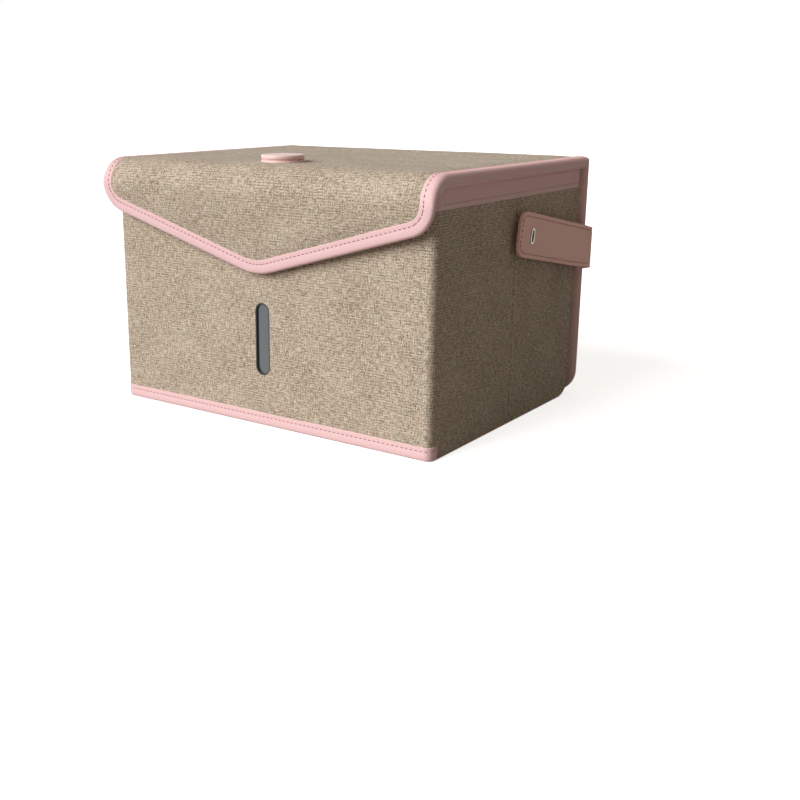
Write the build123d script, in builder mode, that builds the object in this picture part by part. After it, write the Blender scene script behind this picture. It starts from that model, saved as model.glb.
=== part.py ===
from build123d import *
from math import asin, cos, degrees, radians, sin, sqrt, tan
import os

# A folding fabric box with a hinged lid, a pointed front flap and ultraviolet lamps under the lid.
# +Z is up, the flap faces -Y, and the origin is on the floor at the middle of the footprint.
# All lengths are in millimetres.

os.makedirs("parts", exist_ok=True)

# Overall size
bag_width = 260.0          # over the two side walls
bag_depth = 204.0          # front wall's outer face to the back panel's outer face
wall_height = 164.0        # floor to the rim of the walls
cover_overhang = 4.0       # how far the back, strip, lid and flap stand past each side wall

# Thickness of each layer
back_cloth_thickness = 1.2
back_board_thickness = 3.0
back_lining_thickness = 0.8
lid_cloth_thickness = 1.2
lid_board_thickness = 6.0
lid_lining_thickness = 0.8
flap_cloth_thickness = 1.2
flap_board_thickness = 1.6
flap_lining_thickness = 0.8
front_cloth_thickness = 1.2
front_board_thickness = 2.6
front_lining_thickness = 0.6
fold_cloth_thickness = 0.8     # cloth of the folding sides and base
fold_board_thickness = 1.2     # foil-faced board of the folding sides and base

# Edge tape
tape_width = 9.0               # on the outer face of the back, lid and flap
tape_thickness = 1.2
rim_band_height = 12.5         # tape round the rim of the walls
foot_band_height = 9.0         # tape along the foot of the front wall
side_foot_band_height = 2.0    # the narrower fold of tape under each side
inner_band_thickness = 0.5     # leg of the tape on the inner face of a wall

# Folding
strip_depth = 50.0             # from the back edge to the crease across the lid
body_gap = 0.2                 # clear space between pieces that move apart
lid_gap = 0.5                  # from the rim of the walls to the lid's lining
stack_room = 3.2               # standing seam that lets the base fold in behind the sides
base_side_gap = 3.0            # base board's edge to the side wall, at the hinge end
base_taper = 1.12              # how far each edge of the base draws in for each mm from its hinge
corner_gap = 0.3               # round the loose cloth of the base corners

# Outline
back_corner_radius = 17.0
front_edge_radius = 5.0
bend_radius = 11.0             # outer face of the soft bend from lid to flap
bend_reach = 10.6              # how far the bend stands in front of the front wall
flap_drop = 67.8               # lid's top face to the point of the flap
flap_shoulder_drop = 29.8      # lid's top face to where the flap's arms would meet its sides
flap_point_radius = 28.0
flap_shoulder_radius = 20.0
flap_clearance = 1.8           # flap's inner face to the front wall, at the point

# Window in the front wall
window_width = 12.0
window_height = 49.0
window_centre_height = 59.5
window_frame_wall = 0.9
window_lens_thickness = 1.5
window_lens_recess = 1.4

# Magnets of the flap's closure
magnet_diameter = 12.0
flap_magnet_thickness = 1.0
front_magnet_thickness = 1.8
magnet_spacing = 56.0
magnet_drop = 46.0

# Push button
button_diameter = 28.0
button_from_bend = 34.0        # bend's foremost face to the button's centre
button_ring_height = 2.1
button_travel = 0.7
button_gap = 0.9               # ring's top to the cap's underside, at rest
button_cap_height = 2.6
button_edge_bevel = 0.7
button_bore = 18.0
button_neck_diameter = 21.0
button_stem_diameter = 9.0
switch_size = 6.0
switch_height = 2.2
boot_wall = 0.8
board_pocket_margin = 0.4      # room round each part that lies in a pocket of the lid's board

# Lamp and electronics in the lid
circuit_width = 64.0
circuit_depth = 30.0
circuit_thickness = 1.0
battery_width = 60.0
battery_depth = 36.0
battery_thickness = 4.4
battery_from_circuit = 6.0
lamp_length = 160.0
lamp_width = 10.0
lamp_board_thickness = 1.0
lamp_count = 12
lamp_pitch = 13.0
lamp_chip = 3.5
lamp_chip_height = 1.3
lamp_cover_margin = 5.0        # lamp board's edge to the lamp cover's edge
lamp_cover_thickness = 1.2
lamp_from_crease = 34.0
socket_width = 9.0
socket_height = 3.2
socket_length = 7.4
socket_wall = 0.4
socket_from_crease = 60.0
socket_tongue_width = 6.4
socket_tongue_height = 0.8

# Closing strap
strap_width = 28.5
strap_thickness = 2.0
strap_reach = 109.0            # back edge to the strap's free end
strap_rise = 11.0              # degrees, upwards to the free end
strap_centre_height = 108.5    # at the back edge
strap_end_radius = 10.0
strap_patch = 42.0             # sewn length on the back
strap_stand_off = 0.3
eyelet_length = 10.5
eyelet_width = 5.0
eyelet_rim = 1.2
eyelet_rim_height = 0.6
eyelet_from_end = 18.0

# Places worked out from the sizes above
back_thickness = back_cloth_thickness + back_board_thickness + back_lining_thickness
lid_thickness = lid_cloth_thickness + lid_board_thickness + lid_lining_thickness
flap_thickness = flap_cloth_thickness + flap_board_thickness + flap_lining_thickness
front_thickness = front_cloth_thickness + front_board_thickness + front_lining_thickness
fold_thickness = fold_cloth_thickness + fold_board_thickness
top = wall_height + lid_gap + lid_thickness
half_width = bag_width / 2
side_inner = half_width - fold_thickness
cover_half = half_width + cover_overhang
front_outer = bend_reach - (bend_reach + bag_depth + strap_thickness) / 2
front_inner = front_outer + front_thickness
back_outer = front_outer + bag_depth
back_inner = back_outer - back_thickness
crease_y = back_outer - strip_depth
bend_y = front_outer - bend_reach + bend_radius
bend_z = top - bend_radius
side_back_y = back_inner - stack_room
side_front_y = front_inner + stack_room
side_crease_y = (side_back_y + side_front_y) / 2
base_crease_y = (back_inner + front_inner) / 2
button_y = front_outer - bend_reach + button_from_bend


def front_plane(y):
    """A plane that faces the front, with its own x along +X and its own y up."""
    return Plane(origin=(0, y, 0), x_dir=(1, 0, 0), z_dir=(0, -1, 0))


def block(x_from, x_to, y_from, y_to, z_from, z_to, mode=Mode.ADD):
    """A plain block between the named limits, in the part that is being built."""
    with Locations(((x_from + x_to) / 2, (y_from + y_to) / 2, (z_from + z_to) / 2)):
        Box(x_to - x_from, y_to - y_from, z_to - z_from, mode=mode)


# Back panel: cloth, board and lining, held together by tape round its sides and foot


def back_slab(inset, y_from, y_to, mode=Mode.ADD):
    """A slab with the back panel's outline drawn in by an inset, round at its foot corners."""
    half = cover_half - inset
    radius = max(back_corner_radius - inset, 1.0)
    with BuildSketch(front_plane(y_to)) as outline:
        with Locations((0, (top + inset) / 2)):
            RectangleRounded(2 * half, top - inset, radius)
        with Locations((0, top - back_corner_radius)):
            Rectangle(2 * half, 2 * back_corner_radius)
    extrude(outline.sketch, amount=y_to - y_from, mode=mode)


def cut_back_mitre():
    """Cuts the top of the back panel at 45 degrees, to meet the strip of the lid."""
    gap = body_gap / sqrt(2)
    cut = Plane(origin=(0, back_outer, top - gap), x_dir=(1, 0, 0), z_dir=(0, -1, 1))
    split(bisect_by=cut, keep=Keep.BOTTOM)


back_cloth_inner = back_outer - back_cloth_thickness
back_board_inner = back_cloth_inner - back_board_thickness

with BuildPart() as back_cloth:
    back_slab(tape_width, back_cloth_inner, back_outer)
    cut_back_mitre()
back_cloth.part.label = "back_cloth"
export_step(back_cloth.part, "parts/back_cloth.step")

with BuildPart() as back_board:
    back_slab(tape_thickness, back_board_inner, back_cloth_inner)
    cut_back_mitre()
back_board.part.label = "back_board"
export_step(back_board.part, "parts/back_board.step")

with BuildPart() as back_lining:
    back_slab(cover_overhang, back_inner, back_board_inner)
    cut_back_mitre()
back_lining.part.label = "back_lining"
export_step(back_lining.part, "parts/back_lining.step")

with BuildPart() as back_binding:
    back_slab(0, back_inner, back_outer)
    back_slab(tape_width, back_cloth_inner, back_outer, mode=Mode.SUBTRACT)
    back_slab(tape_thickness, back_board_inner, back_cloth_inner, mode=Mode.SUBTRACT)
    back_slab(cover_overhang, back_inner, back_board_inner, mode=Mode.SUBTRACT)
    cut_back_mitre()
back_binding.part.label = "back_binding"
export_step(back_binding.part, "parts/back_binding.step")

# Standing seams in the rear corners, from which the sides hinge
with BuildPart() as rear_seams:
    for side in (-1, 1):
        inner, outer = sorted((side * side_inner, side * half_width))
        block(inner, outer, side_back_y, back_inner, 0, wall_height)
rear_seams.part.label = "rear_seams"
export_step(rear_seams.part, "parts/rear_seams.step")

# Strap: a sewn patch on the back that turns the corner, and the free strap with its metal eyelet

strap_inner_x = cover_half + strap_stand_off
strap_outer_x = strap_inner_x + strap_thickness
strap_hinge_y = back_outer - strap_thickness
strap_slope = tan(radians(strap_rise))
strap_half_height = strap_width / 2 / cos(radians(strap_rise))
strap_plane = Plane(origin=(strap_inner_x, 0, 0), x_dir=(0, 1, 0), z_dir=(1, 0, 0))


def strap_centre(distance):
    """Height of the strap's centre line at a distance in front of the back edge."""
    return strap_centre_height + distance * strap_slope


with BuildPart() as strap_anchor:
    patch_end = strap_outer_x - strap_patch
    with BuildSketch(front_plane(back_outer + strap_thickness)):
        with BuildLine():
            Polyline(
                (strap_outer_x, strap_centre(0) + strap_half_height),
                (patch_end, strap_centre(-strap_patch) + strap_half_height),
                (patch_end, strap_centre(-strap_patch) - strap_half_height),
                (strap_outer_x, strap_centre(0) - strap_half_height),
                close=True,
            )
        make_face()
    extrude(amount=strap_thickness)
    with BuildSketch(strap_plane):
        with BuildLine():
            corner_end = back_outer + strap_thickness
            Polyline(
                (strap_hinge_y + body_gap / 2, strap_centre(0) + strap_half_height),
                (corner_end, strap_centre(0) + strap_half_height),
                (corner_end, strap_centre(0) - strap_half_height),
                (strap_hinge_y + body_gap / 2, strap_centre(0) - strap_half_height),
                close=True,
            )
        make_face()
    extrude(amount=strap_thickness)
    wrap_edge = strap_anchor.edges().filter_by(Axis.Z).sort_by(lambda e: e.center().X + e.center().Y)[-1]
    fillet(wrap_edge, radius=strap_thickness * 0.7)
strap_anchor.part.label = "strap_anchor"
export_step(strap_anchor.part, "parts/strap_anchor.step")

strap_end_y = back_outer - strap_reach
eyelet_turn = 90 - strap_rise
strap_lean = strap_width / 2 * sin(radians(strap_rise))
eyelet_place = (
    strap_end_y + eyelet_from_end * cos(radians(strap_rise)),
    strap_centre(strap_reach) - eyelet_from_end * sin(radians(strap_rise)),
)

with BuildPart() as strap:
    with BuildSketch(strap_plane) as strap_outline:
        with BuildLine():
            Polyline(
                (strap_hinge_y - body_gap / 2, strap_centre(0) - strap_half_height),
                (strap_hinge_y - body_gap / 2, strap_centre(0) + strap_half_height),
                (strap_end_y + strap_lean, strap_centre(strap_reach) + strap_half_height),
                (strap_end_y - strap_lean, strap_centre(strap_reach) - strap_half_height),
                close=True,
            )
        make_face()
        fillet(strap_outline.vertices().sort_by(Axis.X)[:2], radius=strap_end_radius)
    extrude(amount=strap_thickness)
    with BuildSketch(strap_plane):
        with Locations(eyelet_place):
            SlotOverall(eyelet_length - eyelet_rim, eyelet_width - eyelet_rim, rotation=eyelet_turn)
    extrude(amount=strap_thickness, mode=Mode.SUBTRACT)
strap.part.label = "strap"
export_step(strap.part, "parts/strap.step")

with BuildPart() as strap_eyelet:
    with BuildSketch(strap_plane):
        with Locations(eyelet_place):
            SlotOverall(eyelet_length - eyelet_rim, eyelet_width - eyelet_rim, rotation=eyelet_turn)
    extrude(amount=strap_thickness)
    with BuildSketch(strap_plane.offset(strap_thickness)):
        with Locations(eyelet_place):
            SlotOverall(eyelet_length, eyelet_width, rotation=eyelet_turn)
    extrude(amount=eyelet_rim_height)
    with BuildSketch(strap_plane):
        with Locations(eyelet_place):
            SlotOverall(eyelet_length - 2 * eyelet_rim, eyelet_width - 2 * eyelet_rim, rotation=eyelet_turn)
    extrude(amount=strap_thickness + eyelet_rim_height, mode=Mode.SUBTRACT)
strap_eyelet.part.label = "strap_eyelet"
export_step(strap_eyelet.part, "parts/strap_eyelet.step")

# Front wall: cloth turned round the front corners, board, lining, tape and a clear window

front_cloth_inner = front_outer + front_cloth_thickness
front_board_inner = front_cloth_inner + front_board_thickness
front_panel_low = tape_thickness
front_panel_high = wall_height - tape_thickness
magnet_plane = Plane(origin=(0, front_cloth_inner, top - magnet_drop), x_dir=(1, 0, 0), z_dir=(0, -1, 0))


def front_shell(z_from, z_to):
    """The outer shell of the front wall in plan: a flat front with round corners and short returns."""
    depth = side_front_y - front_outer
    with BuildSketch(Plane.XY.offset(z_from)) as plan:
        with Locations((0, front_outer + depth / 2)):
            Rectangle(bag_width, depth)
        corners = plan.vertices().group_by(Axis.Y)[0]
        fillet(corners, radius=front_edge_radius)
        with Locations((0, (front_cloth_inner + side_front_y) / 2)):
            Rectangle(2 * side_inner, side_front_y - front_cloth_inner, mode=Mode.SUBTRACT)
    extrude(plan.sketch, amount=z_to - z_from)


def window_slot(y_from, y_to, margin):
    """Cuts the round-ended window, larger all round by a margin, through the named depth."""
    with BuildSketch(front_plane(y_to)) as slot:
        with Locations((0, window_centre_height)):
            SlotOverall(window_height + 2 * margin, window_width + 2 * margin, rotation=90)
    extrude(slot.sketch, amount=y_to - y_from, mode=Mode.SUBTRACT)


with BuildPart() as front_cloth:
    front_shell(foot_band_height, wall_height - rim_band_height)
    window_slot(front_outer, front_cloth_inner, 0)
front_cloth.part.label = "front_cloth"
export_step(front_cloth.part, "parts/front_cloth.step")

with BuildPart() as front_board:
    block(-side_inner, side_inner, front_cloth_inner, front_board_inner, front_panel_low, front_panel_high)
    window_slot(front_cloth_inner, front_board_inner, 0)
    with Locations(magnet_plane):
        with GridLocations(magnet_spacing, 1, 2, 1):
            Cylinder(
                magnet_diameter / 2,
                front_magnet_thickness,
                align=(Align.CENTER, Align.CENTER, Align.MAX),
                mode=Mode.SUBTRACT,
            )
front_board.part.label = "front_board"
export_step(front_board.part, "parts/front_board.step")

with BuildPart() as front_magnets:
    with Locations(magnet_plane):
        with GridLocations(magnet_spacing, 1, 2, 1):
            Cylinder(
                magnet_diameter / 2,
                front_magnet_thickness,
                align=(Align.CENTER, Align.CENTER, Align.MAX),
            )
front_magnets.part.label = "front_magnets"
export_step(front_magnets.part, "parts/front_magnets.step")

with BuildPart() as front_lining:
    block(-side_inner, side_inner, front_board_inner, front_inner, front_panel_low, front_panel_high)
    window_slot(front_board_inner, front_inner, 0)
front_lining.part.label = "front_lining"
export_step(front_lining.part, "parts/front_lining.step")

with BuildPart() as front_bands:
    front_shell(0, foot_band_height)
    front_shell(wall_height - rim_band_height, wall_height)
    block(-side_inner, side_inner, front_cloth_inner, front_inner, 0, front_panel_low)
    block(-side_inner, side_inner, front_cloth_inner, front_inner, front_panel_high, wall_height)
front_bands.part.label = "front_bands"
export_step(front_bands.part, "parts/front_bands.step")

with BuildPart() as window_frame:
    with BuildSketch(front_plane(front_inner)):
        with Locations((0, window_centre_height)):
            SlotOverall(window_height, window_width, rotation=90)
            SlotOverall(
                window_height - 2 * window_frame_wall,
                window_width - 2 * window_frame_wall,
                rotation=90,
                mode=Mode.SUBTRACT,
            )
    extrude(amount=front_thickness)
window_frame.part.label = "window_frame"
export_step(window_frame.part, "parts/window_frame.step")

with BuildPart() as window_lens:
    with BuildSketch(front_plane(front_outer + window_lens_recess)):
        with Locations((0, window_centre_height)):
            SlotOverall(
                window_height - 2 * window_frame_wall,
                window_width - 2 * window_frame_wall,
                rotation=90,
            )
    extrude(amount=-window_lens_thickness)
window_lens.part.label = "window_lens"
export_step(window_lens.part, "parts/window_lens.step")

# Side walls: each folds at a stitched crease, so it is a rear half and a front half

side_halves = {
    "rear": (side_crease_y + body_gap, side_back_y - body_gap),
    "front": (side_front_y + body_gap, side_crease_y - body_gap),
}

for side_name, side in (("right", 1), ("left", -1)):
    cloth_x = sorted((side * half_width, side * (half_width - fold_cloth_thickness)))
    board_x = sorted((side * (half_width - fold_cloth_thickness), side * side_inner))
    leg_x = sorted((side * side_inner, side * (side_inner - inner_band_thickness)))
    whole_x = sorted((side * half_width, side * side_inner))
    for half_name, (half_front, half_back) in side_halves.items():
        with BuildPart() as side_cloth:
            block(*cloth_x, half_front, half_back, side_foot_band_height, wall_height - rim_band_height)
        side_cloth.part.label = f"{side_name}_{half_name}_cloth"
        export_step(side_cloth.part, f"parts/{side_name}_{half_name}_cloth.step")

        with BuildPart() as side_board:
            block(*board_x, half_front, half_back, front_panel_low, front_panel_high)
        side_board.part.label = f"{side_name}_{half_name}_board"
        export_step(side_board.part, f"parts/{side_name}_{half_name}_board.step")

        with BuildPart() as side_bands:
            rim_low = wall_height - rim_band_height
            block(*cloth_x, half_front, half_back, rim_low, wall_height)
            block(*whole_x, half_front, half_back, front_panel_high, wall_height)
            block(*leg_x, half_front, half_back, rim_low, wall_height)
            block(*cloth_x, half_front, half_back, 0, side_foot_band_height)
            block(*whole_x, half_front, half_back, 0, front_panel_low)
        side_bands.part.label = f"{side_name}_{half_name}_bands"
        export_step(side_bands.part, f"parts/{side_name}_{half_name}_bands.step")

# Base: two boards with slanting ends, so that base and sides fold at once

base_half_width = side_inner - base_side_gap
base_hinges = {"rear": back_inner - body_gap, "front": front_inner + body_gap}
corner_outer = side_inner - inner_band_thickness - corner_gap

for half_name, hinge_y in base_hinges.items():
    away = -1 if half_name == "rear" else 1
    crease_end = base_crease_y - away * body_gap
    base_end_half = base_half_width - base_taper * abs(hinge_y - crease_end)

    with BuildPart() as base_cloth:
        with BuildSketch() as base_plan:
            with BuildLine():
                Polyline(
                    (-base_half_width, hinge_y),
                    (base_half_width, hinge_y),
                    (base_end_half, crease_end),
                    (-base_end_half, crease_end),
                    close=True,
                )
            make_face()
        extrude(amount=fold_cloth_thickness)
    base_cloth.part.label = f"base_{half_name}_cloth"
    export_step(base_cloth.part, f"parts/base_{half_name}_cloth.step")

    with BuildPart() as base_board:
        with BuildSketch(Plane.XY.offset(fold_cloth_thickness)):
            add(base_plan.sketch)
        extrude(amount=fold_board_thickness)
    base_board.part.label = f"base_{half_name}_board"
    export_step(base_board.part, f"parts/base_{half_name}_board.step")

    with BuildPart() as base_corners:
        slant = corner_gap * sqrt(1 + base_taper**2)
        with BuildSketch():
            for side in (-1, 1):
                with BuildLine():
                    Polyline(
                        (side * (base_half_width + slant), hinge_y),
                        (side * corner_outer, hinge_y),
                        (side * corner_outer, crease_end),
                        (side * (base_end_half + slant), crease_end),
                        close=True,
                    )
                make_face()
        extrude(amount=fold_cloth_thickness)
    base_corners.part.label = f"base_{half_name}_corners"
    export_step(base_corners.part, f"parts/base_{half_name}_corners.step")

# Lid strip and lid: the same layers, taped along their two sides

lid_cloth_low = top - lid_cloth_thickness
lid_board_low = lid_cloth_low - lid_board_thickness
lid_low = lid_board_low - lid_lining_thickness
cloth_half = cover_half - tape_width
board_half = cover_half - tape_thickness
lining_half = cover_half - tape_width
strip_front = crease_y + body_gap / 2
lid_back = crease_y - body_gap / 2
lid_front = bend_y


def cut_strip_mitre():
    """Cuts the back of the strip at 45 degrees, to meet the back panel."""
    gap = body_gap / sqrt(2)
    cut = Plane(origin=(0, back_outer - gap, top), x_dir=(1, 0, 0), z_dir=(0, -1, 1))
    split(bisect_by=cut, keep=Keep.TOP)


def side_tapes(y_from, y_to):
    """Tape folded round the two side edges of a lid panel, in the part that is being built."""
    for side in (-1, 1):
        tape_x = sorted((side * cover_half, side * cloth_half))
        board_x = sorted((side * board_half, side * cloth_half))
        block(*tape_x, y_from, y_to, lid_low, top)
        block(*board_x, y_from, y_to, lid_board_low, lid_cloth_low, mode=Mode.SUBTRACT)


with BuildPart() as strip_cloth:
    block(-cloth_half, cloth_half, strip_front, back_outer, lid_cloth_low, top)
    cut_strip_mitre()
strip_cloth.part.label = "strip_cloth"
export_step(strip_cloth.part, "parts/strip_cloth.step")

with BuildPart() as strip_board:
    block(-board_half, board_half, strip_front, back_outer, lid_board_low, lid_cloth_low)
    cut_strip_mitre()
strip_board.part.label = "strip_board"
export_step(strip_board.part, "parts/strip_board.step")

with BuildPart() as strip_lining:
    block(-lining_half, lining_half, strip_front, back_outer, lid_low, lid_board_low)
    cut_strip_mitre()
strip_lining.part.label = "strip_lining"
export_step(strip_lining.part, "parts/strip_lining.step")

with BuildPart() as strip_bindings:
    side_tapes(strip_front, back_outer)
    cut_strip_mitre()
strip_bindings.part.label = "strip_bindings"
export_step(strip_bindings.part, "parts/strip_bindings.step")

# Places of the button, circuit board, battery, lamp and charging socket inside the lid

circuit_top = lid_cloth_low - switch_height
circuit_low = circuit_top - circuit_thickness
battery_y = button_y + circuit_depth / 2 + battery_from_circuit + battery_depth / 2
lamp_y = crease_y - lamp_from_crease
lamp_low = lid_low + lamp_cover_thickness + lamp_chip_height
lamp_top = lamp_low + lamp_board_thickness
socket_y = crease_y - socket_from_crease
socket_z = (lid_board_low + lid_cloth_low) / 2
lamp_cover_length = lamp_length + 2 * lamp_cover_margin
lamp_cover_width = lamp_width + 2 * lamp_cover_margin


def pocket(width, depth, x, y, z_from, z_to):
    """Cuts a pocket for a part of the given width and depth, with room all round it."""
    room = board_pocket_margin
    block(
        x - width / 2 - room,
        x + width / 2 + room,
        y - depth / 2 - room,
        y + depth / 2 + room,
        z_from,
        z_to,
        mode=Mode.SUBTRACT,
    )


with BuildPart() as lid_cloth:
    block(-cloth_half, cloth_half, lid_front, lid_back, lid_cloth_low, top)
    with Locations((0, button_y, top)):
        Hole(button_neck_diameter / 2, depth=lid_cloth_thickness)
lid_cloth.part.label = "lid_cloth"
export_step(lid_cloth.part, "parts/lid_cloth.step")

with BuildPart() as lid_board:
    block(-board_half, board_half, lid_front, lid_back, lid_board_low, lid_cloth_low)
    pocket(circuit_width, circuit_depth, 0, button_y, lid_board_low, lid_cloth_low)
    pocket(battery_width, battery_depth, 0, battery_y, lid_board_low, lid_cloth_low)
    pocket(lamp_cover_length, lamp_cover_width, 0, lamp_y, lid_board_low, lamp_low)
    pocket(lamp_length, lamp_width, 0, lamp_y, lamp_low, lamp_top)
    socket_room = socket_length + board_pocket_margin
    block(
        -cover_half,
        -cover_half + socket_room,
        socket_y - socket_width / 2,
        socket_y + socket_width / 2,
        socket_z - socket_height / 2,
        socket_z + socket_height / 2,
        mode=Mode.SUBTRACT,
    )
lid_board.part.label = "lid_board"
export_step(lid_board.part, "parts/lid_board.step")

with BuildPart() as lid_lining:
    block(-lining_half, lining_half, lid_front, lid_back, lid_low, lid_board_low)
    with BuildSketch(Plane.XY.offset(lid_low)) as lamp_window:
        with Locations((0, lamp_y)):
            SlotOverall(lamp_cover_length, lamp_cover_width)
    extrude(amount=lid_lining_thickness, mode=Mode.SUBTRACT)
lid_lining.part.label = "lid_lining"
export_step(lid_lining.part, "parts/lid_lining.step")

with BuildPart() as lid_bindings:
    side_tapes(lid_front, lid_back)
    with BuildSketch(Plane(origin=(-cover_half, socket_y, socket_z), x_dir=(0, 1, 0), z_dir=(1, 0, 0))):
        SlotOverall(socket_width, socket_height)
    extrude(amount=tape_thickness, mode=Mode.SUBTRACT)
lid_bindings.part.label = "lid_bindings"
export_step(lid_bindings.part, "parts/lid_bindings.step")

with BuildPart() as lamp_cover:
    with BuildSketch(Plane.XY.offset(lid_low)):
        with Locations((0, lamp_y)):
            SlotOverall(lamp_cover_length, lamp_cover_width)
    extrude(amount=lamp_cover_thickness)
lamp_cover.part.label = "lamp_cover"
export_step(lamp_cover.part, "parts/lamp_cover.step")

with BuildPart() as lamp_board:
    block(
        -lamp_length / 2,
        lamp_length / 2,
        lamp_y - lamp_width / 2,
        lamp_y + lamp_width / 2,
        lamp_low,
        lamp_top,
    )
    fillet(lamp_board.edges().filter_by(Axis.Z), radius=lamp_width / 10)
lamp_board.part.label = "lamp_board"
export_step(lamp_board.part, "parts/lamp_board.step")

with BuildPart() as lamp_chips:
    with Locations((0, lamp_y, lamp_low)):
        with GridLocations(lamp_pitch, 1, lamp_count, 1):
            Box(lamp_chip, lamp_chip, lamp_chip_height, align=(Align.CENTER, Align.CENTER, Align.MAX))
lamp_chips.part.label = "lamp_chips"
export_step(lamp_chips.part, "parts/lamp_chips.step")

with BuildPart() as circuit_board:
    block(
        -circuit_width / 2,
        circuit_width / 2,
        button_y - circuit_depth / 2,
        button_y + circuit_depth / 2,
        circuit_low,
        circuit_top,
    )
circuit_board.part.label = "circuit_board"
export_step(circuit_board.part, "parts/circuit_board.step")

with BuildPart() as battery:
    block(
        -battery_width / 2,
        battery_width / 2,
        battery_y - battery_depth / 2,
        battery_y + battery_depth / 2,
        lid_cloth_low - battery_thickness,
        lid_cloth_low,
    )
    fillet(battery.edges().filter_by(Axis.X), radius=battery_thickness / 3)
battery.part.label = "battery"
export_step(battery.part, "parts/battery.step")

with BuildPart() as charging_socket:
    mouth = Plane(origin=(-cover_half, socket_y, socket_z), x_dir=(0, 1, 0), z_dir=(1, 0, 0))
    with BuildSketch(mouth):
        SlotOverall(socket_width, socket_height)
        SlotOverall(socket_width - 2 * socket_wall, socket_height - 2 * socket_wall, mode=Mode.SUBTRACT)
    extrude(amount=socket_length)
    with BuildSketch(mouth.offset(socket_length - socket_wall)):
        SlotOverall(socket_width, socket_height)
    extrude(amount=socket_wall)
    with BuildSketch(mouth.offset(1)):
        Rectangle(socket_tongue_width, socket_tongue_height)
    extrude(amount=socket_length - 1)
charging_socket.part.label = "charging_socket"
export_step(charging_socket.part, "parts/charging_socket.step")

# Push button: a ring on the lid, a mushroom cap, a rubber boot that lifts it, and the switch below

ring_top = top + button_ring_height
cap_low = ring_top + button_gap
stem_low = lid_cloth_low + button_travel + 0.1

with BuildPart() as button_switch:
    with Locations((0, button_y, circuit_top)):
        Box(switch_size, switch_size, switch_height, align=(Align.CENTER, Align.CENTER, Align.MIN))
    fillet(button_switch.faces().sort_by(Axis.Z)[-1].edges(), radius=switch_height / 6)
button_switch.part.label = "button_switch"
export_step(button_switch.part, "parts/button_switch.step")

with BuildPart() as button_ring:
    with BuildSketch(Plane.XZ.offset(-button_y)):
        with BuildLine():
            Polyline(
                (button_bore / 2, lid_cloth_low),
                (button_neck_diameter / 2, lid_cloth_low),
                (button_neck_diameter / 2, top),
                (button_diameter / 2, top),
                (button_diameter / 2, ring_top),
                (button_bore / 2, ring_top),
                close=True,
            )
        make_face()
    revolve(axis=Axis((0, button_y, 0), (0, 0, 1)))
    rim = button_ring.edges().filter_by(GeomType.CIRCLE).group_by(Axis.Z)[-1].sort_by(SortBy.RADIUS)[-1]
    chamfer(rim, length=button_edge_bevel / 2)
button_ring.part.label = "button_ring"
export_step(button_ring.part, "parts/button_ring.step")

with BuildPart() as button_cap:
    with BuildSketch(Plane.XY.offset(cap_low)):
        with Locations((0, button_y)):
            Circle(button_diameter / 2)
    extrude(amount=button_cap_height)
    chamfer(button_cap.faces().sort_by(Axis.Z)[-1].edges(), length=button_edge_bevel)
    with BuildSketch(Plane.XY.offset(stem_low)):
        with Locations((0, button_y)):
            Circle(button_stem_diameter / 2)
    extrude(amount=cap_low - stem_low)
button_cap.part.label = "button_cap"
export_step(button_cap.part, "parts/button_cap.step")

with BuildPart() as button_boot:
    with BuildSketch(Plane.XZ.offset(-button_y)):
        with BuildLine():
            foot = button_bore / 2
            neck = button_stem_diameter / 2 + corner_gap
            Polyline(
                (foot, lid_cloth_low),
                (foot, lid_cloth_low + boot_wall),
                (neck + boot_wall, cap_low),
                (neck, cap_low),
                (foot - 2 * boot_wall, lid_cloth_low),
                close=True,
            )
        make_face()
    revolve(axis=Axis((0, button_y, 0), (0, 0, 1)))
button_boot.part.label = "button_boot"
export_step(button_boot.part, "parts/button_boot.step")

# Bend: the soft quarter turn between the lid and the flap

flap_slope_room = flap_thickness + flap_clearance
flap_hang = flap_drop - bend_radius
flap_tilt = degrees(asin((bend_reach - flap_slope_room) / flap_hang))
bend_sweep = 90 + flap_tilt


def bend_profile(thickness_outer, thickness_inner):
    """A face between two arcs of the bend, at depths below its outer face, drawn on the X = 0 plane."""
    with BuildSketch(Plane.YZ) as profile:
        with BuildLine():
            outer = CenterArc((bend_y, bend_z), bend_radius - thickness_outer, 90, bend_sweep)
            inner = CenterArc((bend_y, bend_z), bend_radius - thickness_inner, 90, bend_sweep)
            Line(outer @ 0, inner @ 0)
            Line(outer @ 1, inner @ 1)
        make_face()
    return profile.sketch


with BuildPart() as bend_cloth:
    extrude(bend_profile(0, flap_thickness), amount=cloth_half - corner_gap, both=True)
bend_cloth.part.label = "bend_cloth"
export_step(bend_cloth.part, "parts/bend_cloth.step")

with BuildPart() as bend_bindings:
    for side in (-1, 1):
        strip_start = Location((side * (cover_half + cloth_half) / 2, 0, 0))
        with Locations(strip_start):
            tape_end = bend_profile(0, flap_thickness)
            tape_end = extrude(tape_end, amount=tape_width / 2, both=True, mode=Mode.PRIVATE)
            add(tape_end)
bend_bindings.part.label = "bend_bindings"
export_step(bend_bindings.part, "parts/bend_bindings.step")

# Flap: a pointed panel that leans back to the front wall, taped round its edge

tilt = radians(flap_tilt)
flap_origin = (0, bend_y - bend_radius * cos(tilt), bend_z - bend_radius * sin(tilt))
flap_face = Plane(origin=flap_origin, x_dir=(1, 0, 0), z_dir=(0, -cos(tilt), -sin(tilt)))
shoulder = -(flap_shoulder_drop - bend_radius)
point_rounding = flap_point_radius * (flap_drop - flap_shoulder_drop) ** 2 / (8 * cover_half**2)
point = -(flap_drop - bend_radius) / cos(tilt) - point_rounding


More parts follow.
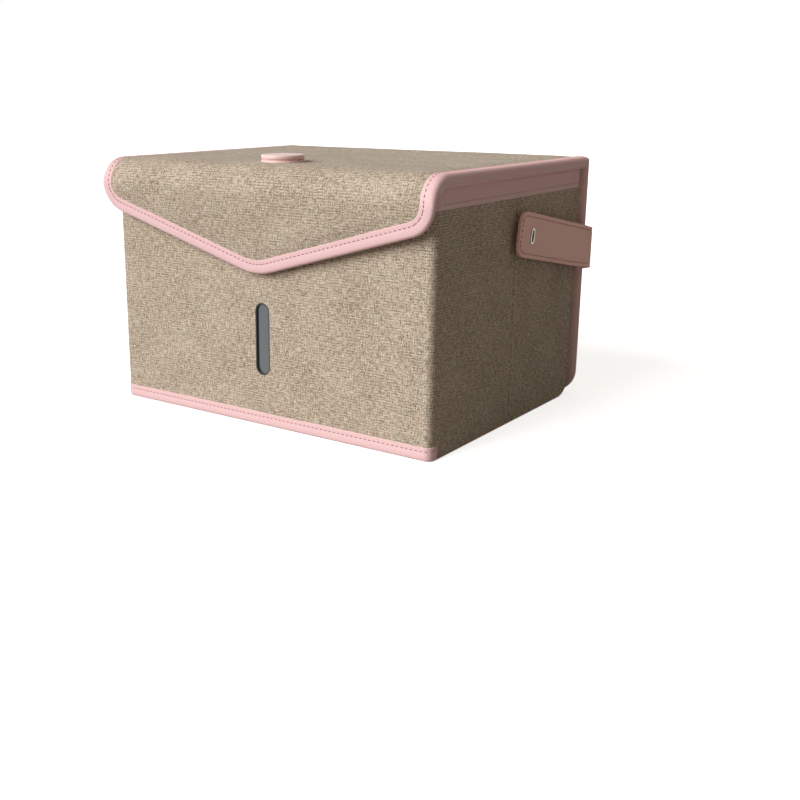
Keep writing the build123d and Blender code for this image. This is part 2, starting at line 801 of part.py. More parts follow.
def flap_slab(inset, depth_from, depth_to, mode=Mode.ADD):
    """A slab of the flap's outline drawn in by an inset, between two depths below its outer face."""
    with BuildSketch(flap_face.offset(-depth_to)) as outline:
        with BuildLine():
            Polyline(
                (-cover_half, bend_radius * 2),
                (-cover_half, shoulder),
                (0, point),
                (cover_half, shoulder),
                (cover_half, bend_radius * 2),
                close=True,
            )
        make_face()
        fillet(outline.vertices().group_by(Axis.Y)[1], radius=flap_shoulder_radius)
        fillet(outline.vertices().group_by(Axis.Y)[0], radius=flap_point_radius)
        if inset > 0:
            offset(amount=-inset, mode=Mode.REPLACE)
        with Locations((0, point / 2 - body_gap)):
            Rectangle(2 * cover_half, -point, mode=Mode.INTERSECT)
    extrude(outline.sketch, amount=depth_to - depth_from, mode=mode)


flap_board_depth = flap_cloth_thickness
flap_lining_depth = flap_board_depth + flap_board_thickness

with BuildPart() as flap_cloth:
    flap_slab(tape_width, 0, flap_cloth_thickness)
flap_cloth.part.label = "flap_cloth"
export_step(flap_cloth.part, "parts/flap_cloth.step")

magnet_plane = flap_face.offset(-flap_board_depth)
magnet_row = -(magnet_drop - bend_radius) / cos(tilt)

with BuildPart() as flap_board:
    flap_slab(tape_thickness, flap_board_depth, flap_lining_depth)
    with Locations(magnet_plane):
        with Locations((0, magnet_row)):
            with GridLocations(magnet_spacing, 1, 2, 1):
                Cylinder(
                    magnet_diameter / 2,
                    flap_magnet_thickness,
                    align=(Align.CENTER, Align.CENTER, Align.MAX),
                    mode=Mode.SUBTRACT,
                )
flap_board.part.label = "flap_board"
export_step(flap_board.part, "parts/flap_board.step")

with BuildPart() as flap_magnets:
    with Locations(magnet_plane):
        with Locations((0, magnet_row)):
            with GridLocations(magnet_spacing, 1, 2, 1):
                Cylinder(
                    magnet_diameter / 2,
                    flap_magnet_thickness,
                    align=(Align.CENTER, Align.CENTER, Align.MAX),
                )
flap_magnets.part.label = "flap_magnets"
export_step(flap_magnets.part, "parts/flap_magnets.step")

with BuildPart() as flap_lining:
    flap_slab(tape_width, flap_lining_depth, flap_thickness)
flap_lining.part.label = "flap_lining"
export_step(flap_lining.part, "parts/flap_lining.step")

with BuildPart() as flap_binding:
    flap_slab(0, 0, flap_thickness)
    flap_slab(tape_width, 0, flap_cloth_thickness, mode=Mode.SUBTRACT)
    flap_slab(tape_thickness, flap_board_depth, flap_lining_depth, mode=Mode.SUBTRACT)
    flap_slab(tape_width, flap_lining_depth, flap_thickness, mode=Mode.SUBTRACT)
flap_binding.part.label = "flap_binding"
export_step(flap_binding.part, "parts/flap_binding.step")
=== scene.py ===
import bpy
from math import ceil, cos, degrees, hypot, pi, radians, sin, sqrt, tan
from mathutils import Matrix, Vector, noise


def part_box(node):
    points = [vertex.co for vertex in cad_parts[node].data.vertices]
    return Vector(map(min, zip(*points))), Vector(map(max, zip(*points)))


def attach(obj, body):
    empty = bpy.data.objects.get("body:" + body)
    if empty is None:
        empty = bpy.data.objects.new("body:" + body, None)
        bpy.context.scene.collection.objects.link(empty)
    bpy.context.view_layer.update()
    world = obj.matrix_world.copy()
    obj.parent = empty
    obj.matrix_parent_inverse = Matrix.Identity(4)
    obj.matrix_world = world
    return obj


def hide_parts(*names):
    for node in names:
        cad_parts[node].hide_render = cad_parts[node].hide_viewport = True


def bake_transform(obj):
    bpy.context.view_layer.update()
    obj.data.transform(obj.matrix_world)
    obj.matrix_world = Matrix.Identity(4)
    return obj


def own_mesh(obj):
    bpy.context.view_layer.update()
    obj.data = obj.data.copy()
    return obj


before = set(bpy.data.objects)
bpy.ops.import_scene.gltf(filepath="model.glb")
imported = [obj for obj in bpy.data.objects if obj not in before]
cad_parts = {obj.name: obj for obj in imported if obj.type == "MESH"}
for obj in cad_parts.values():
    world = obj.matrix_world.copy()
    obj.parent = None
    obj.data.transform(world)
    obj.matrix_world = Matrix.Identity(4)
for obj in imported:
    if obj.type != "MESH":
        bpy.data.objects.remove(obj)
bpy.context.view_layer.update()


# The camera stands to the right of the flap, a little above the lid, as the photographer did.
# The picture is cut so that the bag stands left of its middle, which a small lens shift follows.
camera_place = (449.9, -640.2, 220.2)
camera_turn = 36.33
camera_tilt = 15.67
camera_lens = 49.1
sensor_width = 36
camera_shift = (0.094, -0.009)


def metres(*lengths):
    """Lengths in millimetres as a point in metres."""
    return Vector([length / 1000 for length in lengths])


camera_data = bpy.data.cameras.new("camera")
camera_data.lens = camera_lens
camera_data.sensor_width = sensor_width
camera_data.shift_x = camera_shift[0]
camera_data.shift_y = camera_shift[1]
camera = bpy.data.objects.new("camera", camera_data)
camera.location = metres(*camera_place)
camera.rotation_euler = (radians(90 - camera_tilt), 0, radians(camera_turn))
bpy.context.scene.collection.objects.link(camera)
bpy.context.scene.camera = camera
bpy.context.scene.view_settings.view_transform = "Standard"


# A white studio: one soft key light from the left and above, a little light all round, and a white
# floor. Only the camera, and what reflects, sees the floor and sky as white, so that their light
# does not fill the shaded side of the bag.
key_turn = -26.0
key_height = 29.0
key_strength = 3.35
key_softness = 44.0
sky_strength = 0.175
sky_warm = "#FFF0DA"
seen_white = "#FFFFFF"
floor_grey = "#8A8680"
floor_glow = 0.75
floor_metres = 14
floor_drop = 0.2


def to_linear(hex_colour):
    """An sRGB hex colour as the linear red, green, blue and alpha that a shader takes."""
    channels = [int(hex_colour[i:i + 2], 16) / 255 for i in (1, 3, 5)]
    linear = [c / 12.92 if c <= 0.04045 else ((c + 0.055) / 1.055) ** 2.4 for c in channels]
    return (*linear, 1.0)


def add_node(tree, kind, inputs=None, **settings):
    """Adds a node with its settings, and sets or links its inputs."""
    node = tree.nodes.new(kind)
    for name, value in settings.items():
        setattr(node, name, value)
    for socket, value in (inputs or {}).items():
        if isinstance(value, bpy.types.NodeSocket):
            tree.links.new(value, node.inputs[socket])
        else:
            node.inputs[socket].default_value = value
    return node


key_data = bpy.data.lights.new("key_light", "SUN")
key_data.energy = key_strength
key_data.angle = radians(key_softness)
key_light = bpy.data.objects.new("key_light", key_data)
key_light.rotation_euler = (radians(90 - key_height), 0, radians(key_turn))
bpy.context.scene.collection.objects.link(key_light)

world = bpy.data.worlds.new("white_studio")
world.use_nodes = True
bpy.context.scene.world = world
sky = world.node_tree
seen = add_node(sky, "ShaderNodeLightPath")
seen_or_glossy = add_node(
    sky, "ShaderNodeMath", {0: seen.outputs["Is Camera Ray"], 1: seen.outputs["Is Glossy Ray"]},
    operation="MAXIMUM",
)
seen_any = add_node(
    sky, "ShaderNodeMath", {0: seen_or_glossy.outputs[0], 1: seen.outputs["Is Transmission Ray"]},
    operation="MAXIMUM",
)
sky_level = add_node(
    sky, "ShaderNodeMapRange", {"Value": seen_any.outputs[0], "To Min": sky_strength, "To Max": 1.0},
)
sky_light = sky.nodes["Background"]
sky_colour = add_node(
    sky, "ShaderNodeMix", {0: seen_any.outputs[0], 6: to_linear(sky_warm), 7: to_linear(seen_white)},
    data_type="RGBA",
)
sky.links.new(sky_colour.outputs[2], sky_light.inputs["Color"])
sky.links.new(sky_level.outputs["Result"], sky_light.inputs["Strength"])

bpy.ops.object.select_all(action="DESELECT")
bpy.ops.mesh.primitive_plane_add(size=floor_metres, location=metres(0, 0, -floor_drop))
floor = bpy.context.object
floor.name = "studio_floor"
floor_paint = bpy.data.materials.new("floor_paint")
floor_paint.use_nodes = True
paint = floor_paint.node_tree
rays = add_node(paint, "ShaderNodeLightPath")
rays_seen = add_node(
    paint, "ShaderNodeMath", {0: rays.outputs["Is Camera Ray"], 1: rays.outputs["Is Glossy Ray"]},
    operation="MAXIMUM",
)
floor_colour = add_node(
    paint, "ShaderNodeMix",
    {0: rays_seen.outputs[0], 6: to_linear(floor_grey), 7: to_linear(seen_white)}, data_type="RGBA",
)
floor_shader = paint.nodes["Principled BSDF"]
floor_shader.inputs["Roughness"].default_value = 0.9
floor_shader.inputs["Specular IOR Level"].default_value = 0.1
paint.links.new(floor_colour.outputs[2], floor_shader.inputs["Base Color"])
floor_light = add_node(
    paint, "ShaderNodeMath", {0: rays_seen.outputs[0], 1: floor_glow}, operation="MULTIPLY",
)
floor_shader.inputs["Emission Color"].default_value = (1, 1, 1, 1)
paint.links.new(floor_light.outputs[0], floor_shader.inputs["Emission Strength"])
floor.data.materials.append(floor_paint)


# Linen-look polyester, woven from uneven melange yarns: the outer cloth of every panel.
# The yarns are drawn about twice as coarse as real ones, so that they show from a metre away.
# Besides the yarns' own melange tones, the gaps between the yarns' crowns are darkened with painted shade.
yarn_spacing = 0.86
slub_length = 4.6
fleck_size = 0.78
patch_size = (30, 26)
dye_patch_size = (13, 9)
yarn_rise = 0.35
linen_dark = "#7E6F5E"
linen_mid = "#B3A291"
linen_light = "#DDD0C1"
dye_warm = "#FFFAF5"
dye_cool = "#F9FCF6"


def new_finish(name, roughness, sheen=0.0):
    """A material with its shader's plain values set."""
    material = bpy.data.materials.new(name)
    material.use_nodes = True
    shader = material.node_tree.nodes["Principled BSDF"]
    shader.inputs["Roughness"].default_value = roughness
    shader.inputs["Sheen Weight"].default_value = sheen
    return material, material.node_tree, shader


def stretched_noise(tree, place, along_u, along_v, detail=2.0):
    """Noise whose blots measure along_u by along_v millimetres on the piece's own pattern map."""
    scaled = add_node(
        tree, "ShaderNodeMapping", {"Vector": place, "Scale": (1000 / along_u, 1000 / along_v, 1)},
    )
    return add_node(
        tree, "ShaderNodeTexNoise",
        {"Vector": scaled.outputs[0], "Scale": 1.0, "Detail": detail, "Roughness": 0.6},
    ).outputs[0]


def yarn_wave(tree, value, spacing):
    """A wave across the yarns, from 0 to 1, with the given spacing in millimetres."""
    turned = add_node(tree, "ShaderNodeMath", {0: value, 1: 2000 * pi / spacing}, operation="MULTIPLY")
    wave = add_node(tree, "ShaderNodeMath", {0: turned.outputs[0]}, operation="SINE")
    return add_node(
        tree, "ShaderNodeMath", {0: wave.outputs[0], 1: 0.5, 2: 0.5}, operation="MULTIPLY_ADD",
    ).outputs[0]


def bump_from(tree, shader, height, depth):
    """Raises the surface by depth millimetres where the height value is 1."""
    bump = add_node(tree, "ShaderNodeBump", {"Height": height, "Distance": depth / 1000})
    tree.links.new(bump.outputs[0], shader.inputs["Normal"])


linen, tree, shader = new_finish("linen_look_polyester", 0.92, sheen=0.1)
map_place = add_node(tree, "ShaderNodeUVMap").outputs[0]
split_place = add_node(tree, "ShaderNodeSeparateXYZ", {0: map_place})
warp = stretched_noise(tree, map_place, yarn_spacing, slub_length)
weft = stretched_noise(tree, map_place, slub_length, yarn_spacing)
fleck = stretched_noise(tree, map_place, fleck_size, fleck_size, detail=0.0)
warp_wave = yarn_wave(tree, split_place.outputs[0], yarn_spacing * 2)
weft_wave = yarn_wave(tree, split_place.outputs[1], yarn_spacing * 2)
over_under = add_node(tree, "ShaderNodeMix", {0: warp_wave, 2: weft_wave, 3: 0.5}, data_type="FLOAT")
both_yarns = add_node(tree, "ShaderNodeMix", {0: 0.5, 2: warp, 3: weft}, data_type="FLOAT")
yarn_tone = add_node(tree, "ShaderNodeMix", {0: 0.3, 2: both_yarns.outputs[0], 3: fleck}, data_type="FLOAT")
patches = stretched_noise(tree, map_place, *patch_size, detail=1.0)
tone = add_node(tree, "ShaderNodeMath", {0: patches, 1: 0.08, 2: -0.04}, operation="MULTIPLY_ADD")
# Painted shade: the over-and-under wave darkens the gaps between the yarns' crowns, where the bump sinks.
weave_gap_shade = add_node(
    tree, "ShaderNodeMath", {0: over_under.outputs[0], 1: 0.10, 2: -0.05}, operation="MULTIPLY_ADD",
)
tone_sum = add_node(tree, "ShaderNodeMath", {0: tone.outputs[0], 1: weave_gap_shade.outputs[0]}, operation="ADD")
tone_all = add_node(
    tree, "ShaderNodeMath", {0: yarn_tone.outputs[0], 1: tone_sum.outputs[0]}, operation="ADD",
)
ramp = add_node(tree, "ShaderNodeValToRGB", {0: tone_all.outputs[0]})
ramp.color_ramp.elements[0].position = 0.39
ramp.color_ramp.elements[0].color = to_linear(linen_dark)
ramp.color_ramp.elements[1].position = 0.60
ramp.color_ramp.elements[1].color = to_linear(linen_light)
middle = ramp.color_ramp.elements.new(0.49)
middle.color = to_linear(linen_mid)
dye_drift = stretched_noise(tree, map_place, *dye_patch_size, detail=1.0)
dye_share = add_node(tree, "ShaderNodeMapRange", {"Value": dye_drift, "From Min": 0.2, "From Max": 0.8})
dye = add_node(
    tree, "ShaderNodeMix", {0: dye_share.outputs[0], 6: to_linear(dye_warm), 7: to_linear(dye_cool)},
    data_type="RGBA",
)
dyed = add_node(
    tree, "ShaderNodeMix", {0: 1.0, 6: ramp.outputs[0], 7: dye.outputs[2]}, data_type="RGBA",
    blend_type="MULTIPLY",
)
tree.links.new(dyed.outputs[2], shader.inputs["Base Color"])
bump_from(tree, shader, tone_all.outputs[0], yarn_rise)


# Ribbed twill tape of pink polyester, folded over every raw edge and sewn through: diagonal ribs,
# a soft sheen, and painted shade, a darker pink, in the valleys where the ribs part.
rib_spacing = 1.5
tape_pink = "#F3CFD0"
tape_valley_shade = "#E9BBBE"
tape_sheen = "#FFCCC8"
fuzz_size = 0.6
rib_rise = 0.10

twill, tree, shader = new_finish("pink_twill_tape", 0.72, sheen=0.6)
shader.inputs["Sheen Tint"].default_value = to_linear(tape_sheen)
map_place = add_node(tree, "ShaderNodeUVMap").outputs[0]
split_place = add_node(tree, "ShaderNodeSeparateXYZ", {0: map_place})
slant = add_node(
    tree, "ShaderNodeMath", {0: split_place.outputs[0], 1: split_place.outputs[1]}, operation="ADD",
)
ribs = yarn_wave(tree, slant.outputs[0], rib_spacing * sqrt(2))
fuzz = stretched_noise(tree, map_place, fuzz_size, fuzz_size)
rib_tone = add_node(tree, "ShaderNodeMix", {0: 0.3, 2: ribs, 3: fuzz}, data_type="FLOAT")
# Painted shade: where the ribs part, low on the bump, the tape takes the darker valley pink.
ramp = add_node(tree, "ShaderNodeValToRGB", {0: rib_tone.outputs[0]})
ramp.color_ramp.elements[0].position = 0.1
ramp.color_ramp.elements[0].color = to_linear(tape_valley_shade)
ramp.color_ramp.elements[1].position = 0.6
ramp.color_ramp.elements[1].color = to_linear(tape_pink)
tree.links.new(ramp.outputs[0], shader.inputs["Base Color"])
bump_from(tree, shader, rib_tone.outputs[0], rib_rise)


# Sewing thread of spun polyester, dusty pink on the tape and sand on the cloth. Its fibres are
# twisted together, which shows as a slight change of tone.
thread_pink = "#BC8486"
thread_sand = "#EFE6D4"
thread_twist = 0.5

threads = {}
for thread_name, thread_colour in (("pink", thread_pink), ("sand", thread_sand)):
    material, tree, shader = new_finish("spun_thread_" + thread_name, 0.7, sheen=0.2)
    thread_place = add_node(tree, "ShaderNodeTexCoord").outputs["Object"]
    fibres = stretched_noise(tree, thread_place, thread_twist, thread_twist)
    darker = [channel * 0.8 for channel in to_linear(thread_colour)[:3]] + [1]
    shade = add_node(
        tree, "ShaderNodeMix", {0: fibres, 6: darker, 7: to_linear(thread_colour)}, data_type="RGBA",
    )
    tree.links.new(shade.outputs[2], shader.inputs["Base Color"])
    threads[thread_name] = material


# Silver film with a printed mesh of dark dots, which throws the lamps' light round the inside.
# It is vacuum-coated polyester: bright, slightly crinkled metal.
dot_spacing = 3.2
dot_share = 0.30
film_silver = "#C9CCCF"
film_dot = "#2B2C2E"
crinkle_rise = 0.9


def silver_film(name, source, place, axes):
    """The dotted film, with its dots laid out along two axes of the place that the source gives."""
    material, tree, shader = new_finish(name, 0.3)
    split = add_node(tree, "ShaderNodeSeparateXYZ", {0: add_node(tree, source).outputs[place]})
    shares = []
    for axis in axes:
        scaled = add_node(
            tree, "ShaderNodeMath", {0: split.outputs[axis], 1: 1000 / dot_spacing}, operation="MULTIPLY",
        )
        part = add_node(tree, "ShaderNodeMath", {0: scaled.outputs[0]}, operation="FRACT")
        centred = add_node(tree, "ShaderNodeMath", {0: part.outputs[0], 1: -0.5}, operation="ADD")
        squared = add_node(tree, "ShaderNodeMath", {0: centred.outputs[0], 1: 2.0}, operation="POWER")
        shares.append(squared.outputs[0])
    reach = add_node(tree, "ShaderNodeMath", {0: shares[0], 1: shares[1]}, operation="ADD")
    dot_area = dot_share ** 2
    dots = add_node(
        tree, "ShaderNodeMapRange",
        {0: reach.outputs[0], 1: dot_area * 0.8, 2: dot_area * 1.2, 3: 1.0, 4: 0.0},
    )
    shade = add_node(
        tree, "ShaderNodeMix", {0: dots.outputs[0], 6: to_linear(film_silver), 7: to_linear(film_dot)},
        data_type="RGBA",
    )
    tree.links.new(shade.outputs[2], shader.inputs["Base Color"])
    metal = add_node(tree, "ShaderNodeMapRange", {0: dots.outputs[0], 3: 0.9, 4: 0.1})
    tree.links.new(metal.outputs[0], shader.inputs["Metallic"])
    crinkle_place = add_node(tree, "ShaderNodeTexCoord").outputs["Object"]
    crinkle = add_node(tree, "ShaderNodeTexNoise", {"Vector": crinkle_place, "Scale": 60.0, "Detail": 3.0})
    bump_from(tree, shader, crinkle.outputs[0], crinkle_rise)
    return material


film_on_cloth = silver_film("silver_film_lining", "ShaderNodeUVMap", "UV", (0, 1))
film_on_side = silver_film("silver_film_on_side_board", "ShaderNodeTexCoord", "Object", (1, 2))
film_on_base = silver_film("silver_film_on_base_board", "ShaderNodeTexCoord", "Object", (0, 1))


# Back panel cloth: one piece over the board, wrapped a little way over the top edge onto the strip
# behind the lid's crease.
top = 172.5
cover_half = 134.0
back_outer = 106.3
back_thickness = 5.0
back_radius = 17.0
cloth_wall = 0.9
panel_swell = 0.35
bulge_length = 38.0
flat_above = 20.0
corner_round = 4.0
hinge_wrap = 7.5
under_tape = 4.0
crisp_angle = radians(40)


def uneven(u, v, size, seed):
    """A small smooth rise and fall over the cloth, in millimetres, that is the same every run."""
    return size * noise.noise(Vector((u / bulge_length, v / bulge_length, seed)))


def from_grid(name, columns, rows, place, wall, outward):
    """A sheet whose grid of points is set by place(s, t), with its own pattern map and a wall.
    place gives a point and its place on the flat cut cloth, both in millimetres. outward is the
    way that the sheet's first face looks."""
    bpy.ops.object.select_all(action="DESELECT")
    bpy.ops.mesh.primitive_grid_add(x_subdivisions=columns, y_subdivisions=rows, size=1)
    piece = bpy.context.object
    piece.name = name
    piece.data.name = name
    mesh = piece.data
    pattern = {}
    for vertex in mesh.vertices:
        point, flat = place(vertex.co.x + 0.5, vertex.co.y + 0.5)
        vertex.co = metres(*point)
        pattern[vertex.index] = (flat[0] / 1000, flat[1] / 1000)
    uv = mesh.uv_layers.active.data
    for loop in mesh.loops:
        uv[loop.index].uv = pattern[loop.vertex_index]
    mesh.update()
    if mesh.polygons[0].normal.dot(Vector(outward)) < 0:
        mesh.flip_normals()
    if wall > 0:
        thicken = piece.modifiers.new("wall", "SOLIDIFY")
        thicken.thickness = wall / 1000
        bpy.context.view_layer.objects.active = piece
        bpy.ops.object.modifier_apply(modifier="wall")
    piece.select_set(True)
    bpy.ops.object.shade_smooth_by_angle(angle=crisp_angle)
    return piece


def dress(piece, material):
    """Gives a piece its material."""
    piece.data.materials.clear()
    piece.data.materials.append(material)


def clustered(s, half):
    """From 0 to 1 across a panel to -half to half, with points closer together near both edges."""
    t = 2 * s - 1
    return half * (1.3 * t - 0.3 * t ** 3)


def back_cloth_place(s, t):
    across = -clustered(s, cover_half - under_tape)
    corner = max(0.0, abs(across) - (cover_half - back_radius))
    low = back_radius - sqrt(max(0.0, back_radius ** 2 - corner ** 2)) + 3.5
    arc_start = top - corner_round
    arc_length = corner_round * pi / 2
    run = low + (arc_start + arc_length + hinge_wrap - corner_round - low) * (1 - (1 - t) ** 1.5)
    swell = uneven(across, run, panel_swell, 3)
    if run < arc_start:
        return (across, back_outer + swell * min(1, (arc_start - run) / flat_above), run), (across, run)
    if run < arc_start + arc_length:
        turn = (run - arc_start) / corner_round
        reach_back = back_outer - corner_round + corner_round * cos(turn)
        return (across, reach_back, arc_start + corner_round * sin(turn)), (across, run)
    return (across, back_outer - corner_round - (run - arc_start - arc_length), top), (across, run)


back_panel_cloth = from_grid("back_panel_cloth", 60, 56, back_cloth_place, cloth_wall, (0, 1, 0))
dress(back_panel_cloth, linen)
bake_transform(back_panel_cloth)
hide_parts("back_cloth")


# Tape round the sides and foot of the back panel, folded over the edge and sewn down near its
# inner edge, with round corners at the foot.
tape_width = 9.0
tape_proud = 0.45
stitch_inset = 6.2
back_inner_leg = 6.0
stitch_pitch = 3.4
stitch_length = 2.3
stitch_radius = 0.38
stitch_depth = -0.35
arc_step = 7
roll_radius = 3.2
roll_steps = 6


def swung(arrow, angle):
    """A flat vector turned by an angle."""
    return Vector((arrow.x * cos(angle) - arrow.y * sin(angle), arrow.x * sin(angle) + arrow.y * cos(angle)))


def rounded_run(corners, radii, spacing):
    """Points and travel directions along straight runs joined by arcs, in millimetres."""
    points = []
    previous = Vector(corners[0])
    for before, corner, after, radius in zip(corners, corners[1:], corners[2:], radii):
        here = Vector(corner)
        into, out = (here - Vector(before)).normalized(), (Vector(after) - here).normalized()
        turn = into.angle_signed(out)
        cut = radius * tan(abs(turn) / 2)
        first = here - into * cut
        count = max(1, ceil((first - previous).length / spacing))
        points += [(previous + (first - previous) * k / count, into) for k in range(count)]
        left = Vector((-into.y, into.x))
        spoke = left * radius * (1 if turn > 0 else -1)
        centre = first - spoke
        steps = max(3, ceil(abs(degrees(turn)) / arc_step))
        for k in range(steps):
            angle = -turn * k / steps
            points.append((centre + swung(spoke, angle), swung(into, angle)))
        previous = here + out * cut
    end = Vector(corners[-1])
    ahead = (end - previous).normalized()
    count = max(1, ceil((end - previous).length / spacing))
    points += [(previous + (end - previous) * k / count, ahead) for k in range(count + 1)]
    return points


def tape_section(outer_leg, inner_leg, thickness):
    """The tape's outline across the edge: inset from the edge and depth below the outer face."""
    roll = min(thickness / 2, roll_radius)
    section = [(outer_leg, 0.1), (outer_leg - 0.25, -tape_proud * 0.8)]
    if outer_leg > 5:
        groove = outer_leg * stitch_inset / tape_width
        section += [(groove + 1.2, -tape_proud * 1.15), (groove, -tape_proud * 0.55)]
        section += [(groove - 1.2, -tape_proud * 1.2)]
    section += [(roll + 0.9, -tape_proud * 1.2)]
    for k in range(roll_steps + 1):
        angle = pi / 2 * k / roll_steps
        inset = roll - roll * sin(angle) - tape_proud * sin(angle)
        section.append((inset, roll - (roll + tape_proud) * cos(angle)))
    for k in range(roll_steps + 1):
        angle = pi / 2 * (1 - k / roll_steps)
        inset = roll - roll * sin(angle) - tape_proud * sin(angle)
        section.append((inset, thickness - roll + (roll + tape_proud) * cos(angle)))
    section += [(inner_leg * 0.7, thickness + tape_proud), (inner_leg - 0.25, thickness + tape_proud * 0.8)]
    return section + [(inner_leg, thickness - 0.1)]


def run_lengths(run):
    """Distance travelled at each point of a run."""
    total, lengths = 0.0, []
    for k, (point, ahead) in enumerate(run):
        if k:
            total += (point - run[k - 1][0]).length
        lengths.append(total)
    return lengths


def sew_tape(name, run, section_at, place, outward, inward_side=1, wall=0.5):
    """Tape folded over an edge. run is the edge on the flat panel, section_at(point) the outline
    across it, and place(across, up, depth) where the flat panel's points lie on the bag."""
    lengths = run_lengths(run)
    sections = [section_at(point) for point, ahead in run]
    columns, rows = len(run) - 1, len(sections[0]) - 1

    def on_tape(s, t):
        i, j = round(s * columns), round(t * rows)
        point, ahead = run[i]
        inward = Vector((-ahead.y, ahead.x)) * inward_side
        inset, depth = sections[i][j]
        spot = point + inward * inset
        steps = zip(sections[i][:j], sections[i][1:j + 1])
        across = sum(hypot(b[0] - a[0], b[1] - a[1]) for a, b in steps)
        return place(spot.x, spot.y, depth), (lengths[i], across)

    return from_grid(name, columns, rows, on_tape, wall, outward)


def joined(pieces, name):
    """Joins pieces into one, under a new name."""
    bpy.ops.object.select_all(action="DESELECT")
    for piece in pieces:
        piece.select_set(True)
    bpy.context.view_layer.objects.active = pieces[0]
    bpy.ops.object.join()
    whole = bpy.context.object
    whole.name = name
    return whole


def sew_stitches(name, run, inset, depth, place, thread, inward_side=1):
    """A row of stitches along a run: one low bead of thread, modelled once and copied along it."""
    lengths = run_lengths(run)
    bpy.ops.object.select_all(action="DESELECT")
    bead_size = metres(stitch_length / 2, stitch_radius, stitch_radius)
    bpy.ops.mesh.primitive_ico_sphere_add(subdivisions=1, radius=1, scale=bead_size)
    bead = bpy.context.object
    bpy.ops.object.transform_apply(location=True, rotation=True, scale=True)
    bpy.ops.object.shade_smooth()
    count = int(lengths[-1] / stitch_pitch)
    row = []
    for k in range(count):
        ends = []
        for shift in (-0.5, 0.5):
            goal = (k + 0.5) * lengths[-1] / count + shift * stitch_length
            i = max(1, next((n for n, length in enumerate(lengths) if length >= goal), len(lengths) - 1))
            share = (goal - lengths[i - 1]) / max(1e-6, lengths[i] - lengths[i - 1])
            spot = run[i - 1][0].lerp(run[i][0], share)
            ahead = run[i][1]
            spot = spot + Vector((-ahead.y, ahead.x)) * inward_side * inset
            ends.append((Vector(place(spot.x, spot.y, depth)), Vector(place(spot.x, spot.y, depth - 1))))
        centre = (ends[0][0] + ends[1][0]) / 2
        along = (ends[1][0] - ends[0][0]).normalized()
        side = along.cross(ends[0][1] - ends[0][0]).normalized()
        turn = Matrix((along, side, side.cross(along))).transposed().to_4x4()
        stitch = bead.copy()
        stitch.data = bead.data.copy()
        stitch.data.transform(Matrix.Translation(metres(*centre)) @ turn)
        bpy.context.scene.collection.objects.link(stitch)
        row.append(stitch)
    bpy.data.objects.remove(bead)
    piece = joined(row, name)
    dress(piece, threads[thread])
    return piece


def rounded_off(distance):
    """How far the rounded top edge lies below the square corner, at a distance from the corner."""
    inside = max(0.0, corner_round - distance)
    return corner_round - sqrt(max(0.0, corner_round ** 2 - inside ** 2))


mitre_depth = corner_round * (1 - sin(pi / 4))
mitre_from = 140
mitre_lean = 0.3
mitre_gap = 0.05


def on_back(across, up, depth):
    """A point of the back's tape, cut at 45 degrees and rounded where it meets the lid's strip."""
    limit = min(top - max(depth, 0), top - mitre_depth) - mitre_gap
    height = up
    if up >= mitre_from:
        height = mitre_from + (up - mitre_from) * (limit - mitre_from) / (top - 1 - mitre_from)
    sunk = back_outer - rounded_off(top - height) - min(depth, 0) - mitre_lean * max(depth, 0)
    return (across, min(back_outer - depth, sunk), max(height, 0.0))


back_run = rounded_run(
    [(-cover_half, top - 1), (-cover_half, 0), (cover_half, 0), (cover_half, top - 1)],
    [back_radius, back_radius], spacing=2.5,
)
back_section = tape_section(tape_width, back_inner_leg, back_thickness)
back_panel_tape = sew_tape("back_panel_tape", back_run, lambda point: back_section, on_back, (0, 1, 0))
dress(back_panel_tape, twill)
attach(back_panel_tape, "back")
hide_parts("back_binding")
back_stitches = sew_stitches("back_tape_stitches", back_run, stitch_inset, stitch_depth, on_back, "pink")
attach(back_stitches, "back")


# Foil lining inside the back panel: one flat sheet of dotted film, glued to the board, with its
# lower corners rounded as the back's are.
back_inner = back_outer - back_thickness
film_wall = 0.4
lining_half = 129.0
lining_straight = 117.0
lining_radius = 13.0
lining_foot = 4.0
lining_below_top = 6.2
glue_gap = 0.05


def back_lining_place(s, t):
    across = clustered(s, lining_half)
    corner = min(lining_radius, max(0.0, abs(across) - lining_straight))
    low = lining_radius - sqrt(max(0.0, lining_radius ** 2 - corner ** 2)) + lining_foot
    up = low + (top - lining_below_top - low) * t
    return (across, back_inner + glue_gap, up), (across, up)


back_panel_lining = from_grid("back_panel_lining", 40, 30, back_lining_place, film_wall, (0, -1, 0))
dress(back_panel_lining, film_on_cloth)
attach(back_panel_lining, "back")
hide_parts("back_lining")


# Standing seams in the two rear corners: a doubled strip of cloth, sewn to the back, from which
# each side wall hinges.
half_width = 130.0
side_inner = 128.0
side_back = 98.1
wall_height = 164.0
seam_softness = 0.5


def foot_line(y):
    """Height of the side wall's lower edge, which rises at the rear as the back's round corner."""
    inside = min(back_radius, max(0.0, y - (back_inner - back_radius)))
    return back_radius - sqrt(back_radius ** 2 - inside ** 2)


